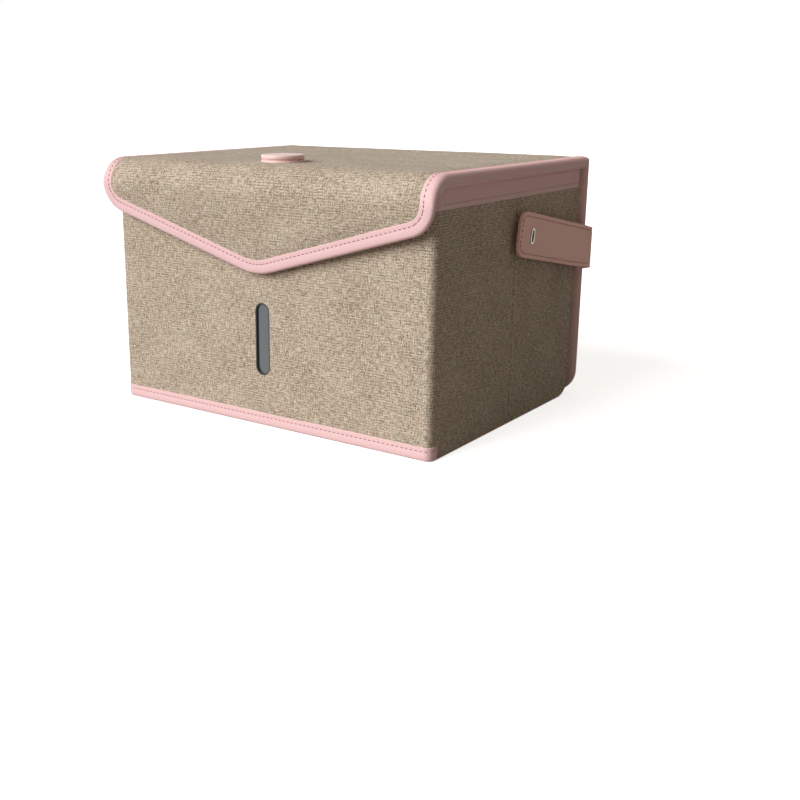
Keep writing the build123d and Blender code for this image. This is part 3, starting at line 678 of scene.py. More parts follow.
seams = []
for side in (-1, 1):
    bpy.ops.object.select_all(action="DESELECT")
    bpy.ops.mesh.primitive_cube_add(
        size=1,
        location=metres(side * (half_width + side_inner) / 2, (side_back + back_inner) / 2, wall_height / 2),
        scale=metres(half_width - side_inner, back_inner - side_back, wall_height),
    )
    seam = bpy.context.object
    bpy.ops.object.transform_apply(location=True, rotation=True, scale=True)
    for vertex in seam.data.vertices:
        if vertex.co.z < 0.001:
            vertex.co.z = foot_line(vertex.co.y * 1000) / 1000
    bpy.ops.object.mode_set(mode="EDIT")
    bpy.ops.mesh.select_all(action="SELECT")
    bpy.ops.mesh.bevel(offset=seam_softness / 1000, segments=2)
    bpy.ops.uv.cube_project(cube_size=1.0, scale_to_bounds=False)
    bpy.ops.object.mode_set(mode="OBJECT")
    seams.append(seam)
rear_corner_seams = joined(seams, "rear_corner_seams")
bpy.ops.object.shade_smooth_by_angle(angle=crisp_angle)
dress(rear_corner_seams, linen)
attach(rear_corner_seams, "back")
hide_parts("rear_seams")


# Closing strap: two layers of smooth pink coated cloth, sewn round their edge. Its patch is sewn to
# the back, it turns the right rear corner loosely, and its free end stands off the side wall. A
# plated eyelet is pressed through it near its end.
strap_width = 28.5
strap_wall = 2.0
strap_rise = radians(11.0)
strap_height = 108.5
strap_reach = 109.0
strap_patch = 42.0
strap_stand = 0.3
strap_looseness = 3.0
strap_settles = 85.0
strap_leans_by = 15.0
strap_end_radius = 8.0
strap_stitch_inset = 2.6
strap_softness = 0.5
strap_groove = 0.22
strap_groove_half = 1.1
eyelet_from_end = 18.0
eyelet_hole_length = 9.3
eyelet_hole_width = 3.8
coated_pink = "#FFCEC2"
coated_sheen = "#FFB4AA"
pebble_size = 0.9
streak_size = (14, 3)
pebble_rise = 0.06

coated_cloth, tree, shader = new_finish("coated_pink_cloth", 0.55, sheen=1.0)
shader.inputs["Sheen Tint"].default_value = to_linear(coated_sheen)
map_place = add_node(tree, "ShaderNodeUVMap").outputs[0]
pebble = stretched_noise(tree, map_place, pebble_size, pebble_size)
streak = stretched_noise(tree, map_place, *streak_size)
pebble_and_streak = add_node(tree, "ShaderNodeMix", {0: 0.5, 2: pebble, 3: streak}, data_type="FLOAT")
darker = [channel * 0.9 for channel in to_linear(coated_pink)[:3]] + [1]
shade = add_node(
    tree, "ShaderNodeMix", {0: pebble_and_streak.outputs[0], 6: darker, 7: to_linear(coated_pink)},
    data_type="RGBA",
)
tree.links.new(shade.outputs[2], shader.inputs["Base Color"])
bump_from(tree, shader, pebble, pebble_rise)

strap_face = cover_half + strap_stand + strap_wall
strap_back = back_outer + strap_wall
strap_turn = 2.6
strap_arc = strap_turn * pi / 2
strap_bend_at = strap_patch - strap_turn
strap_run = strap_bend_at + strap_arc + strap_back - strap_turn - (back_outer - strap_reach)


def on_strap(run, up, depth):
    """A point of the flat strap, run mm from the end of its patch, laid round the rear corner."""
    height = strap_height + (run - strap_patch) * tan(strap_rise) + up / cos(strap_rise)
    free = max(0.0, run - strap_bend_at - strap_arc)
    loose = strap_looseness * min(1, run / strap_bend_at) * max(0.0, 1 - free / strap_settles) ** 2
    if run < strap_bend_at:
        return (strap_face - strap_patch + run + loose, strap_back - depth, height)
    if run < strap_bend_at + strap_arc:
        turn = (run - strap_bend_at) / strap_turn
        reach = strap_turn - depth
        across = strap_face + loose - strap_turn + reach * sin(turn)
        return (across, strap_back - strap_turn + reach * cos(turn), height)
    lean = up * sin(strap_rise) * min(1, free / strap_leans_by)
    return (strap_face + loose - depth, strap_back - strap_turn - free + lean, height)


def strap_place(s, t):
    run = strap_run * s
    left = strap_run - run
    half = strap_width / 2
    if left < strap_end_radius:
        half -= strap_end_radius - sqrt(max(0.0, strap_end_radius ** 2 - (strap_end_radius - left) ** 2))
    up = (t - 0.5) * 2 * half
    rim = strap_width / 2 - abs(up)
    groove = strap_groove * max(0.0, 1 - abs(min(rim, left) - strap_stitch_inset) / strap_groove_half)
    return on_strap(run, up, groove), (run, up)


closing_strap = from_grid("closing_strap", 110, 40, strap_place, strap_wall, (0, 1, 0))
soften = closing_strap.modifiers.new("edge", "BEVEL")
soften.width = strap_softness / 1000
soften.segments = 2
soften.limit_method = "ANGLE"
soften.angle_limit = radians(60)
bpy.context.view_layer.objects.active = closing_strap
bpy.ops.object.modifier_apply(modifier="edge")


def slot_punch(centre, half_length, radius, along, turn=0.0):
    """A round-ended bar to cut a slot: a cylinder drawn apart along X or Z. One that is drawn apart
    along Z points along Y, or along X when turned by a quarter."""
    bpy.ops.object.select_all(action="DESELECT")
    lie = (pi / 2, 0, 0) if along == 2 else (0, 0, 0)
    bpy.ops.mesh.primitive_cylinder_add(vertices=48, radius=radius / 1000, depth=0.02, rotation=lie)
    bar = bpy.context.object
    bpy.ops.object.transform_apply(location=True, rotation=True, scale=True)
    pull = (half_length - radius) / 1000
    for vertex in bar.data.vertices:
        vertex.co[along] += pull if vertex.co[along] > 0 else -pull
    bar.data.transform(Matrix.Rotation(turn, 4, "Z"))
    bar.data.transform(Matrix.Translation(metres(*centre)))
    return bar


def cut_with(piece, bar):
    """Cuts a bar's shape out of a piece, and throws the bar away."""
    cut = piece.modifiers.new("cut", "BOOLEAN")
    cut.object = bar
    cut.operation = "DIFFERENCE"
    bpy.context.view_layer.objects.active = piece
    bpy.ops.object.modifier_apply(modifier="cut")
    bpy.data.objects.remove(bar)


eyelet_y = back_outer - strap_reach + eyelet_from_end * cos(strap_rise)
eyelet_z = strap_height + strap_reach * tan(strap_rise) - eyelet_from_end * sin(strap_rise)
eyelet_punch = slot_punch((0, 0, 0), eyelet_hole_length / 2, eyelet_hole_width / 2, 2, pi / 2)
eyelet_punch.data.transform(Matrix.Rotation(strap_rise, 4, "X"))
eyelet_punch.data.transform(Matrix.Translation(metres(strap_face, eyelet_y, eyelet_z)))
cut_with(closing_strap, eyelet_punch)
dress(closing_strap, coated_cloth)
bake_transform(closing_strap)
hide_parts("strap_anchor", "strap")

strap_half = strap_width / 2
strap_sewn_from = strap_bend_at + 6
strap_outline = rounded_run(
    [
        (strap_sewn_from, -strap_half), (strap_run, -strap_half),
        (strap_run, strap_half), (strap_sewn_from, strap_half),
    ],
    [strap_end_radius, strap_end_radius], spacing=6,
)
strap_stitches = sew_stitches("strap_stitches", strap_outline, strap_stitch_inset, 0.0, on_strap, "pink")
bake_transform(strap_stitches)
patch_sewn_to = strap_bend_at - 8
patch_radius = 1.5
patch_outline = rounded_run(
    [(patch_sewn_to, strap_half), (0, strap_half), (0, -strap_half), (patch_sewn_to, -strap_half)],
    [patch_radius, patch_radius], spacing=6,
)
patch_stitches = sew_stitches(
    "strap_patch_stitches", patch_outline, strap_stitch_inset, 0.0, on_strap, "pink",
)
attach(patch_stitches, "back")


# Strip behind the lid's crease: cloth over board, from the back edge to a little past the crease.
crease_y = 56.3
crease_wrap = 3.0
crease_dip = 0.55
crease_dip_half = 1.6
strip_unevenness = 0.15
lid_thickness = 8.0
swell_height = 1.0
swell_width = 9.0


def swelling(edge_distance):
    """How far the cloth swells between its tapes, at a distance inside their edge."""
    share = min(1.0, max(0.0, edge_distance / swell_width))
    return swell_height * share * share * (3 - 2 * share)


def strip_cloth_place(s, t):
    across = clustered(s, cover_half - under_tape)
    y = crease_y - crease_wrap + (back_outer - hinge_wrap - crease_y + crease_wrap) * t
    sink = crease_dip * max(0.0, 1 - abs(y - crease_y) / crease_dip_half)
    rim = min(cover_half - abs(across) - tape_width + 1.5, y - crease_y - 1.5, back_outer - hinge_wrap - y)
    height = top - sink + swelling(rim) + uneven(across, y, strip_unevenness, 7)
    return (across, y, height), (across, y)


strip_cloth_cover = from_grid("strip_cloth_cover", 40, 60, strip_cloth_place, cloth_wall, (0, 0, 1))
dress(strip_cloth_cover, linen)
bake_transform(strip_cloth_cover)
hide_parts("strip_cloth")


strip_lining_half = 127.0
strip_lining_end = 8.6
lining_gap = 0.3


def strip_lining_place(s, t):
    across = clustered(s, strip_lining_half)
    y = crease_y + lining_gap + (back_outer - strip_lining_end - crease_y - lining_gap) * t
    return (across, y, top - lid_thickness), (across, y)


strip_foil_lining = from_grid("strip_foil_lining", 30, 10, strip_lining_place, film_wall, (0, 0, -1))
dress(strip_foil_lining, film_on_cloth)
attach(strip_foil_lining, "lid_strip")
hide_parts("strip_lining")


def on_strip(across, back, depth):
    """A point of the strip's tape, cut at 45 degrees and rounded where it meets the back."""
    limit = min(back_outer - max(depth, 0), back_outer - mitre_depth) - mitre_gap
    reach = crease_y + (back - crease_y) * (limit - crease_y) / (back_outer - crease_y)
    sunk = top - rounded_off(back_outer - reach) - min(depth, 0) - mitre_lean * max(depth, 0)
    return (across, reach, min(top - depth, sunk))


lid_section = tape_section(tape_width, tape_width, lid_thickness)
strip_tapes = []
strip_steps = 20
for side, side_name in ((-1, "left"), (1, "right")):
    strip_start = crease_y + 0.1
    shares = [1 - (1 - k / strip_steps) ** 1.6 for k in range(strip_steps + 1)]
    stops = [strip_start + (back_outer - crease_y - 0.1) * share for share in shares]
    strip_run = [(Vector((side * cover_half, y)), Vector((0, 1))) for y in stops]
    strip_tapes.append(
        sew_tape("strip_tape", strip_run, lambda point: lid_section, on_strip, (0, 0, 1), inward_side=side)
    )
    stitches = sew_stitches(
        "strip_%s_stitches" % side_name, strip_run, stitch_inset, stitch_depth, on_strip, "pink",
        inward_side=side,
    )
    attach(stitches, "lid_strip")
strip_side_tapes = joined(strip_tapes, "strip_side_tapes")
dress(strip_side_tapes, twill)
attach(strip_side_tapes, "lid_strip")
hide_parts("strip_bindings")


# Folds of tape and of foil that bridge the two hinges of the lid. Each is a short length in narrow
# columns, nearly closed while the lid lies flat.
fold_columns = 9
fold_reach = 0.5
fold_sunk = 0.12
foil_fold_wall = 0.25
foil_fold_half = 126.0
corner_foil_open = 14.0
corner_foil_reach = 4.0
corner_foil_low = 6.6
corner_foil_drop = 1.45
crease_foil_half = 0.7
cover_inner_leg = tape_width - 1.5
tape_folds = []
both_sides = ((1, "right"), (-1, "left"))

for side, side_name in both_sides:

    def corner_fold_place(s, t, side=side):
        step = 2 * s - 1
        section = tape_section(
            tape_width, cover_inner_leg, back_thickness + (lid_thickness - back_thickness) * s,
        )
        inset, depth = section[round(t * (len(section) - 1))]
        depth += fold_sunk
        level = max(depth, mitre_depth) if depth > 0 else mitre_depth + depth * sin(pi / 4)
        shift = step * fold_reach * sin(pi / 4)
        point = (side * (cover_half - inset - fold_sunk), back_outer - level - shift, top - level + shift)
        return point, (step, inset + depth)

    section_rows = len(lid_section) - 1
    corner_fold = from_grid(
        side_name + "_corner_fold", fold_columns, section_rows, corner_fold_place, 0, (side, 0, 0),
    )
    dress(corner_fold, twill)
    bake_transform(corner_fold)

    def crease_fold_place(s, t, side=side):
        step = 2 * s - 1
        inset, depth = lid_section[round(t * section_rows)]
        depth += fold_sunk
        point = (side * (cover_half - inset - fold_sunk), crease_y - step * fold_reach, top - depth)
        return point, (step, inset + depth)

    crease_fold = from_grid(
        side_name + "_crease_fold", fold_columns, section_rows, crease_fold_place, 0, (side, 0, 0),
    )
    dress(crease_fold, twill)
    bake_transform(crease_fold)
    tape_folds += [corner_fold, crease_fold]


def corner_foil_place(s, t):
    across = (2 * s - 1) * foil_fold_half
    y = back_inner + 0.02 - corner_foil_reach * t
    return (across, y, top - corner_foil_low - corner_foil_drop * t), (across, corner_foil_open * t)


corner_foil = from_grid("corner_foil_fold", 12, 12, corner_foil_place, foil_fold_wall, (0, 0, -1))
dress(corner_foil, film_on_cloth)
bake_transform(corner_foil)


def crease_foil_place(s, t):
    across = (2 * s - 1) * foil_fold_half
    y = crease_y + crease_foil_half - 2 * crease_foil_half * t
    return (across, y, top - lid_thickness - glue_gap), (across, -t)


crease_foil = from_grid("crease_foil_fold", 12, 12, crease_foil_place, foil_fold_wall, (0, 0, -1))
dress(crease_foil, film_on_cloth)
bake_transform(crease_foil)


# Cover cloth: one piece over the lid, the soft bend and the pointed flap, with a round hole for the
# push button.
bend_y = -91.3
bend_z = 155.5
bend_radius = 17.0
flap_thickness = 3.6
flap_tilt = radians(5.25)
flap_drop = 67.8
flap_shoulder = 12.8
shoulder_radius = 20.0
point_radius = 42.0
button_y = -74.3
button_hole_radius = 10.5
rows_to_bend = 0.72
thins_before = 26.0
thins_over = 14.0
cover_cloth_inset = 4.5
flap_cloth_inset = 5.5
bend_calm = 30.0
cover_unevenness = 0.3

lid_run = crease_y - bend_y
bend_run = bend_radius * (pi / 2 + flap_tilt)
point_run = (flap_drop - bend_radius) / cos(flap_tilt) + 0.75
shoulder_at = lid_run + bend_run + flap_shoulder
point_at = lid_run + bend_run + point_run


def fold_over(across, run, depth):
    """A point of the flat cover, run mm in front of the crease, laid over the lid, bend and flap."""
    if run <= lid_run:
        return (across, crease_y - run, top - depth)
    if run <= lid_run + bend_run:
        turn = pi / 2 + (run - lid_run) / bend_radius
        reach = bend_radius - depth
        return (across, bend_y + reach * cos(turn), bend_z + reach * sin(turn))
    down = run - lid_run - bend_run
    y = bend_y - bend_radius * cos(flap_tilt) + down * sin(flap_tilt) + depth * cos(flap_tilt)
    z = bend_z - bend_radius * sin(flap_tilt) - down * cos(flap_tilt) + depth * sin(flap_tilt)
    return (across, y, z)


def cover_thickness(run):
    """Eight millimetres on the lid, thinning to the flap's thickness beyond the lid's board."""
    share = min(1.0, max(0.0, (lid_run + thins_before - run) / thins_over))
    return flap_thickness + (lid_thickness - flap_thickness) * share * share * (3 - 2 * share)


def flap_edge(across):
    """How far in front of the crease the flap's slanting edge lies."""
    return shoulder_at + (point_at - shoulder_at) * (1 - abs(across) / cover_half)


def cover_cloth_place(s, t):
    across = clustered(s, cover_half - cover_cloth_inset)
    end = flap_edge(across) - flap_cloth_inset
    start = crease_wrap + 0.1
    past_bend = lid_run + bend_run + 2
    if t < rows_to_bend:
        run = start + (past_bend - start) * t / rows_to_bend
    else:
        run = past_bend + (end - past_bend) * (t - rows_to_bend) / (1 - rows_to_bend)
    flatness = min(1.0, abs(run - lid_run - bend_run / 2) / bend_calm)
    rim = min(cover_half - abs(across), (flap_edge(across) - run) * 0.96) - tape_width + 1.5
    swell = swelling(min(rim, run - 1.5)) + uneven(across, run, cover_unevenness * flatness, 11)
    return fold_over(across, run, -swell), (across, -run)


cover_cloth = from_grid("cover_cloth", 70, 120, cover_cloth_place, cloth_wall, (0, 0, 1))
bpy.ops.object.select_all(action="DESELECT")
bpy.ops.mesh.primitive_cylinder_add(
    vertices=64, radius=button_hole_radius / 1000, depth=0.02, location=metres(0, button_y, top),
)
cut_with(cover_cloth, bpy.context.object)
dress(cover_cloth, linen)
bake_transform(cover_cloth)
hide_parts("lid_cloth", "bend_cloth", "flap_cloth")


# Tape round the cover: one length down the lid's right edge, over the bend, along the flap's two
# arms to its blunt point, and back up the left edge.
cover_run = rounded_run(
    [
        (cover_half, 0.15), (cover_half, shoulder_at), (0, point_at), (-cover_half, shoulder_at),
        (-cover_half, 0.15),
    ],
    [shoulder_radius, point_radius, shoulder_radius], spacing=3,
)
cover_tape = sew_tape(
    "cover_tape", cover_run,
    lambda point: tape_section(tape_width, cover_inner_leg, cover_thickness(point.y)),
    fold_over, (0, 0, 1),
)
dress(cover_tape, twill)
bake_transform(cover_tape)
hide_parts("lid_bindings", "bend_bindings", "flap_binding")
cover_stitches = sew_stitches("cover_tape_stitches", cover_run, stitch_inset, stitch_depth, fold_over, "pink")
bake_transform(cover_stitches)


# Foil lining under the lid and behind the flap, with a long round-ended opening for the lamp. It
# is glued to both boards.
lamp_y = 22.3
lamp_cover_half = 85.0
lamp_cover_radius = 10.0
cover_lining_inset = 6.5
flap_lining_inset = 7


def cover_lining_place(s, t):
    across = clustered(s, cover_half - cover_lining_inset)
    end = flap_edge(across) - flap_lining_inset
    run = lining_gap + (end - lining_gap) * t
    return fold_over(across, run, cover_thickness(run)), (across, -run)


cover_lining = from_grid("cover_lining", 50, 110, cover_lining_place, film_wall, (0, 0, -1))
cut_with(cover_lining, slot_punch((0, lamp_y, top - lid_thickness), lamp_cover_half, lamp_cover_radius, 0))
dress(cover_lining, film_on_cloth)
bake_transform(cover_lining)
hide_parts("lid_lining", "flap_lining")


# Push button on the lid: a moulded ring, a rounded cap above it, and the soft boot that lifts the
# cap. Satin pink plastic with a fine moulded grain.
button_radius = 14.0
ring_low = top
ring_high = top + 2.1
cap_low = top + 3.0
cap_high = top + 5.6
button_shade = "#EECBC8"
button_pink = "#F9DAD6"


def plain_finish(name, dark, light, roughness, metallic=0.0, scale=500.0, detail=3.0, depth=0.02):
    """A finish of one colour with a slight change of tone and a fine surface."""
    material, tree, shader = new_finish(name, roughness)
    shader.inputs["Metallic"].default_value = metallic
    place = add_node(tree, "ShaderNodeTexCoord").outputs["Object"]
    spots = add_node(tree, "ShaderNodeTexNoise", {"Vector": place, "Scale": scale, "Detail": detail})
    tone = add_node(
        tree, "ShaderNodeMix", {0: spots.outputs[0], 6: to_linear(dark), 7: to_linear(light)},
        data_type="RGBA",
    )
    tree.links.new(tone.outputs[2], shader.inputs["Base Color"])
    bump_from(tree, shader, spots.outputs[0], depth)
    return material, shader


satin_plastic, shader = plain_finish(
    "satin_pink_plastic", button_shade, button_pink, 0.42, scale=2600.0, detail=2.0,
)


def turned(name, outline, centre):
    """A round piece spun about an upright axis from its outline of (radius, height) points, which
    is drawn by extruding one point from each to the next."""
    bpy.ops.object.select_all(action="DESELECT")
    bpy.ops.mesh.primitive_plane_add(size=0.001)
    piece = bpy.context.object
    piece.name = name
    bpy.ops.object.mode_set(mode="EDIT")
    bpy.ops.mesh.select_all(action="SELECT")
    bpy.ops.mesh.merge(type="CENTER")
    bpy.ops.transform.translate(value=metres(outline[0][0], 0, outline[0][1]))
    for before, after in zip(outline, outline[1:]):
        step = metres(after[0] - before[0], 0, after[1] - before[1])
        bpy.ops.mesh.extrude_vertices_move(TRANSFORM_OT_translate={"value": step})
    bpy.ops.mesh.select_all(action="SELECT")
    bpy.ops.mesh.spin(steps=72, angle=2 * pi, center=(0, 0, 0), axis=(0, 0, 1))
    bpy.ops.mesh.select_all(action="SELECT")
    bpy.ops.mesh.remove_doubles(threshold=0.000005)
    bpy.ops.mesh.normals_make_consistent(inside=False)
    bpy.ops.object.mode_set(mode="OBJECT")
    piece.data.transform(Matrix.Translation(metres(*centre)))
    bpy.ops.object.shade_smooth_by_angle(angle=radians(45))
    return piece


def round_edge(radius, height, fillet, steps=5):
    """Points round an outer top edge, from the side to the top."""
    angles = [pi / 2 * k / steps for k in range(steps + 1)]
    inset, low = radius - fillet, height - fillet
    return [(inset + fillet * cos(angle), low + fillet * sin(angle)) for angle in angles]


ring_outline = [(9.0, ring_low - 1.2), (10.5, ring_low - 1.2), (10.5, ring_low), (button_radius, ring_low)]
ring_outline += round_edge(button_radius, ring_high, 0.15)
ring_outline += [(9.4, ring_high), (9.0, ring_high - 0.4), (9.0, ring_low - 1.2)]
button_surround = turned("button_surround", ring_outline, (0, button_y, 0))
dress(button_surround, satin_plastic)
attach(button_surround, "lid")
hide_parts("button_ring")

cap_outline = [
    (0.0, ring_low - 0.4), (4.5, ring_low - 0.4), (4.5, cap_low), (button_radius - 0.1, cap_low),
    (button_radius, cap_low + 0.1),
]
cap_outline += round_edge(button_radius, cap_high, 0.9)
cap_outline += [(button_radius - 2.4, cap_high - 0.05), (6.0, cap_high - 0.22), (0.0, cap_high - 0.3)]
button_top = turned("button_top", cap_outline, (0, button_y, 0))
dress(button_top, satin_plastic)
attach(button_top, "button")
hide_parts("button_cap")

silicone, tree, shader = new_finish("soft_silicone", 0.55)
shader.inputs["Base Color"].default_value = to_linear("#E6D6D0")
boot_place = add_node(tree, "ShaderNodeTexCoord").outputs["Object"]
bloom = add_node(tree, "ShaderNodeTexNoise", {"Vector": boot_place, "Scale": 900.0})
bump_from(tree, shader, bloom.outputs[0], 0.03)
pink_silicone = silicone.copy()
pink_silicone.name = "soft_pink_silicone"
pink_silicone.node_tree.nodes["Principled BSDF"].inputs["Base Color"].default_value = to_linear("#E6BCBA")
boot_outline = [
    (7.4, top - 1.2), (9.0, top - 1.2), (9.0, top - 0.4), (8.2, top - 0.1), (5.6, cap_low), (4.8, cap_low),
    (7.4, top - 1.2),
]
button_spring_boot = turned("button_spring_boot", boot_outline, (0, button_y, 0))
dress(button_spring_boot, silicone)
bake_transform(button_spring_boot)
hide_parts("button_boot")

# A soft pink gasket closes the slit between ring and cap.
gasket_outline = [
    (11.5, ring_high), (13.4, ring_high), (13.6, (ring_high + cap_low) / 2), (13.4, cap_low),
    (11.5, cap_low), (11.5, ring_high),
]
button_gasket = turned("button_gasket", gasket_outline, (0, button_y, 0))
dress(button_gasket, pink_silicone)
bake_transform(button_gasket)


# Front wall: cloth wrapped round both front corners, with a slot for the window, its seams sewn
# a few millimetres in from the corners.
front_outer = -97.7
front_thickness = 4.4
front_radius = 5.0
side_front = -90.1
seam_inset = 5.5
foot_height = 9.0
rim_height = 12.5
window_centre = 59.5
slot_half = 24.5
slot_radius = 6.0
flat_columns = 0.6
seam_rise = 0.35
seam_half = 1.5
seam_stops = range(8, 154, 5)
seam_stitch_depth = 0.2
edge_stitch_depth = -0.3
front_unevenness = 0.45
calm_near_corner = 6
calm_half = 18
calm_from = 9
calm_over = 20

flat_half = half_width - front_radius
corner_run = front_radius * pi / 2
return_run = side_front - front_outer - front_radius
front_half_run = flat_half + corner_run + return_run


def on_front(across, up, depth):
    """A point of the front wall's flat cloth, laid across the front and round its corners."""
    side = 1 if across >= 0 else -1
    run = abs(across)
    up = max(up, 0.0)
    if run <= flat_half:
        return (across, front_outer + depth, up)
    if run <= flat_half + corner_run:
        turn = (run - flat_half) / front_radius
        reach = front_radius - min(depth, front_radius - 0.2)
        return (side * (flat_half + reach * sin(turn)), front_outer + front_radius - reach * cos(turn), up)
    return (side * (half_width - depth), front_outer + front_radius + run - flat_half - corner_run, up)


def front_columns(s):
    """Columns across the front wall, closer together round the two corners."""
    t = 2 * s - 1
    side = 1 if t >= 0 else -1
    share = abs(t)
    if share < flat_columns:
        return side * flat_half * share / flat_columns
    return side * (flat_half + (front_half_run - flat_half) * (share - flat_columns) / (1 - flat_columns))


def front_cloth_place(s, t):
    across = front_columns(s)
    up = foot_height - 3 + (wall_height - rim_height + 6 - foot_height) * t
    calm = 1 if abs(across) < flat_half - calm_near_corner else 0
    from_window = hypot(across, max(0, abs(up - window_centre) - calm_half))
    near_window = min(1.0, max(0.0, (from_window - calm_from) / calm_over))
    depth = -uneven(across, up, front_unevenness * calm * near_window, 17)
    seam = abs(abs(across) - (half_width - seam_inset))
    depth += seam_rise * max(0.0, 1 - seam / seam_half)
    return on_front(across, up, depth), (across, up)


front_wall_cloth = from_grid("front_wall_cloth", 120, 60, front_cloth_place, cloth_wall, (-1, 0, 0))
cut_with(front_wall_cloth, slot_punch((0, front_outer, window_centre), slot_half, slot_radius, 2))
dress(front_wall_cloth, linen)
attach(front_wall_cloth, "front_wall")
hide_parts("front_cloth")

for side, side_name in both_sides:
    seam_run = [(Vector((side * (half_width - seam_inset), z)), Vector((0, 1))) for z in seam_stops]
    corner_stitches = sew_stitches(
        "front_%s_seam_stitches" % side_name, seam_run, 0, seam_stitch_depth, on_front, "sand",
    )
    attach(corner_stitches, "front_wall")


def front_depth(point):
    """The front wall is thick across its board and thin at its cloth returns."""
    share = min(1.0, max(0.0, (abs(point.x) - flat_half) / corner_run))
    return front_thickness + (half_width - side_inner - front_thickness) * share


corner_steps = 14
flat_steps = 30


def front_edge_run(up):
    """The front wall's edge, with closer points round its two corners."""
    returned = front_half_run - flat_half
    stops = [-front_half_run + returned * k / corner_steps for k in range(corner_steps + 1)]
    stops += [-flat_half + 2 * flat_half * k / flat_steps for k in range(1, flat_steps)]
    stops += [flat_half + returned * k / corner_steps for k in range(corner_steps + 1)]
    return [(Vector((across, up)), Vector((1, 0))) for across in stops]


front_rim_tape = sew_tape(
    "front_rim_tape", front_edge_run(wall_height),
    lambda point: tape_section(rim_height, rim_height, front_depth(point)),
    on_front, (-1, 0, 0), inward_side=-1,
)
front_foot_tape = sew_tape(
    "front_foot_tape", front_edge_run(0),
    lambda point: tape_section(foot_height, 3.0, front_depth(point)), on_front, (-1, 0, 0),
)
for tape in (front_rim_tape, front_foot_tape):
    dress(tape, twill)
    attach(tape, "front_wall")
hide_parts("front_bands")
foot_stitches = sew_stitches(
    "front_foot_stitches", front_edge_run(0), stitch_inset, edge_stitch_depth, on_front, "pink",
)
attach(foot_stitches, "front_wall")


front_lining_half = 125.5


def front_lining_place(s, t):
    across = front_lining_half * (2 * s - 1)
    up = 2 + (wall_height - 4) * t
    return (across, front_outer + front_thickness, up), (across, up)


front_wall_lining = from_grid("front_wall_lining", 30, 20, front_lining_place, film_wall, (0, 1, 0))
lining_slot = slot_punch((0, front_outer + front_thickness, window_centre), slot_half, slot_radius, 2)
cut_with(front_wall_lining, lining_slot)
dress(front_wall_lining, film_on_cloth)
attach(front_wall_lining, "front_wall")
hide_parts("front_lining")


# Side walls: cloth over film-faced board, creased at mid depth and sewn down the crease.
side_crease = 4.0
side_dip = 0.65
side_dip_half = 1.3
side_calm = 12.0
side_wall = 0.6
edge_wall = 0.35
board_corner = 10.0
side_steps = 40
rim_stitch_inset = 9.2
slope_step = 0.05
side_clearance = 0.2
even_share = 0.2
side_unevenness = 0.5
crease_stitch_inset = 2.4
crease_stitch_depth = -0.12
crease_stops = range(6, 150, 5)
hinge_cloth_half = 1.2
side_thickness = half_width - side_inner
side_rim_section = tape_section(rim_height, rim_height, side_thickness)
side_foot_section = tape_section(2.0, 2.0, side_thickness)

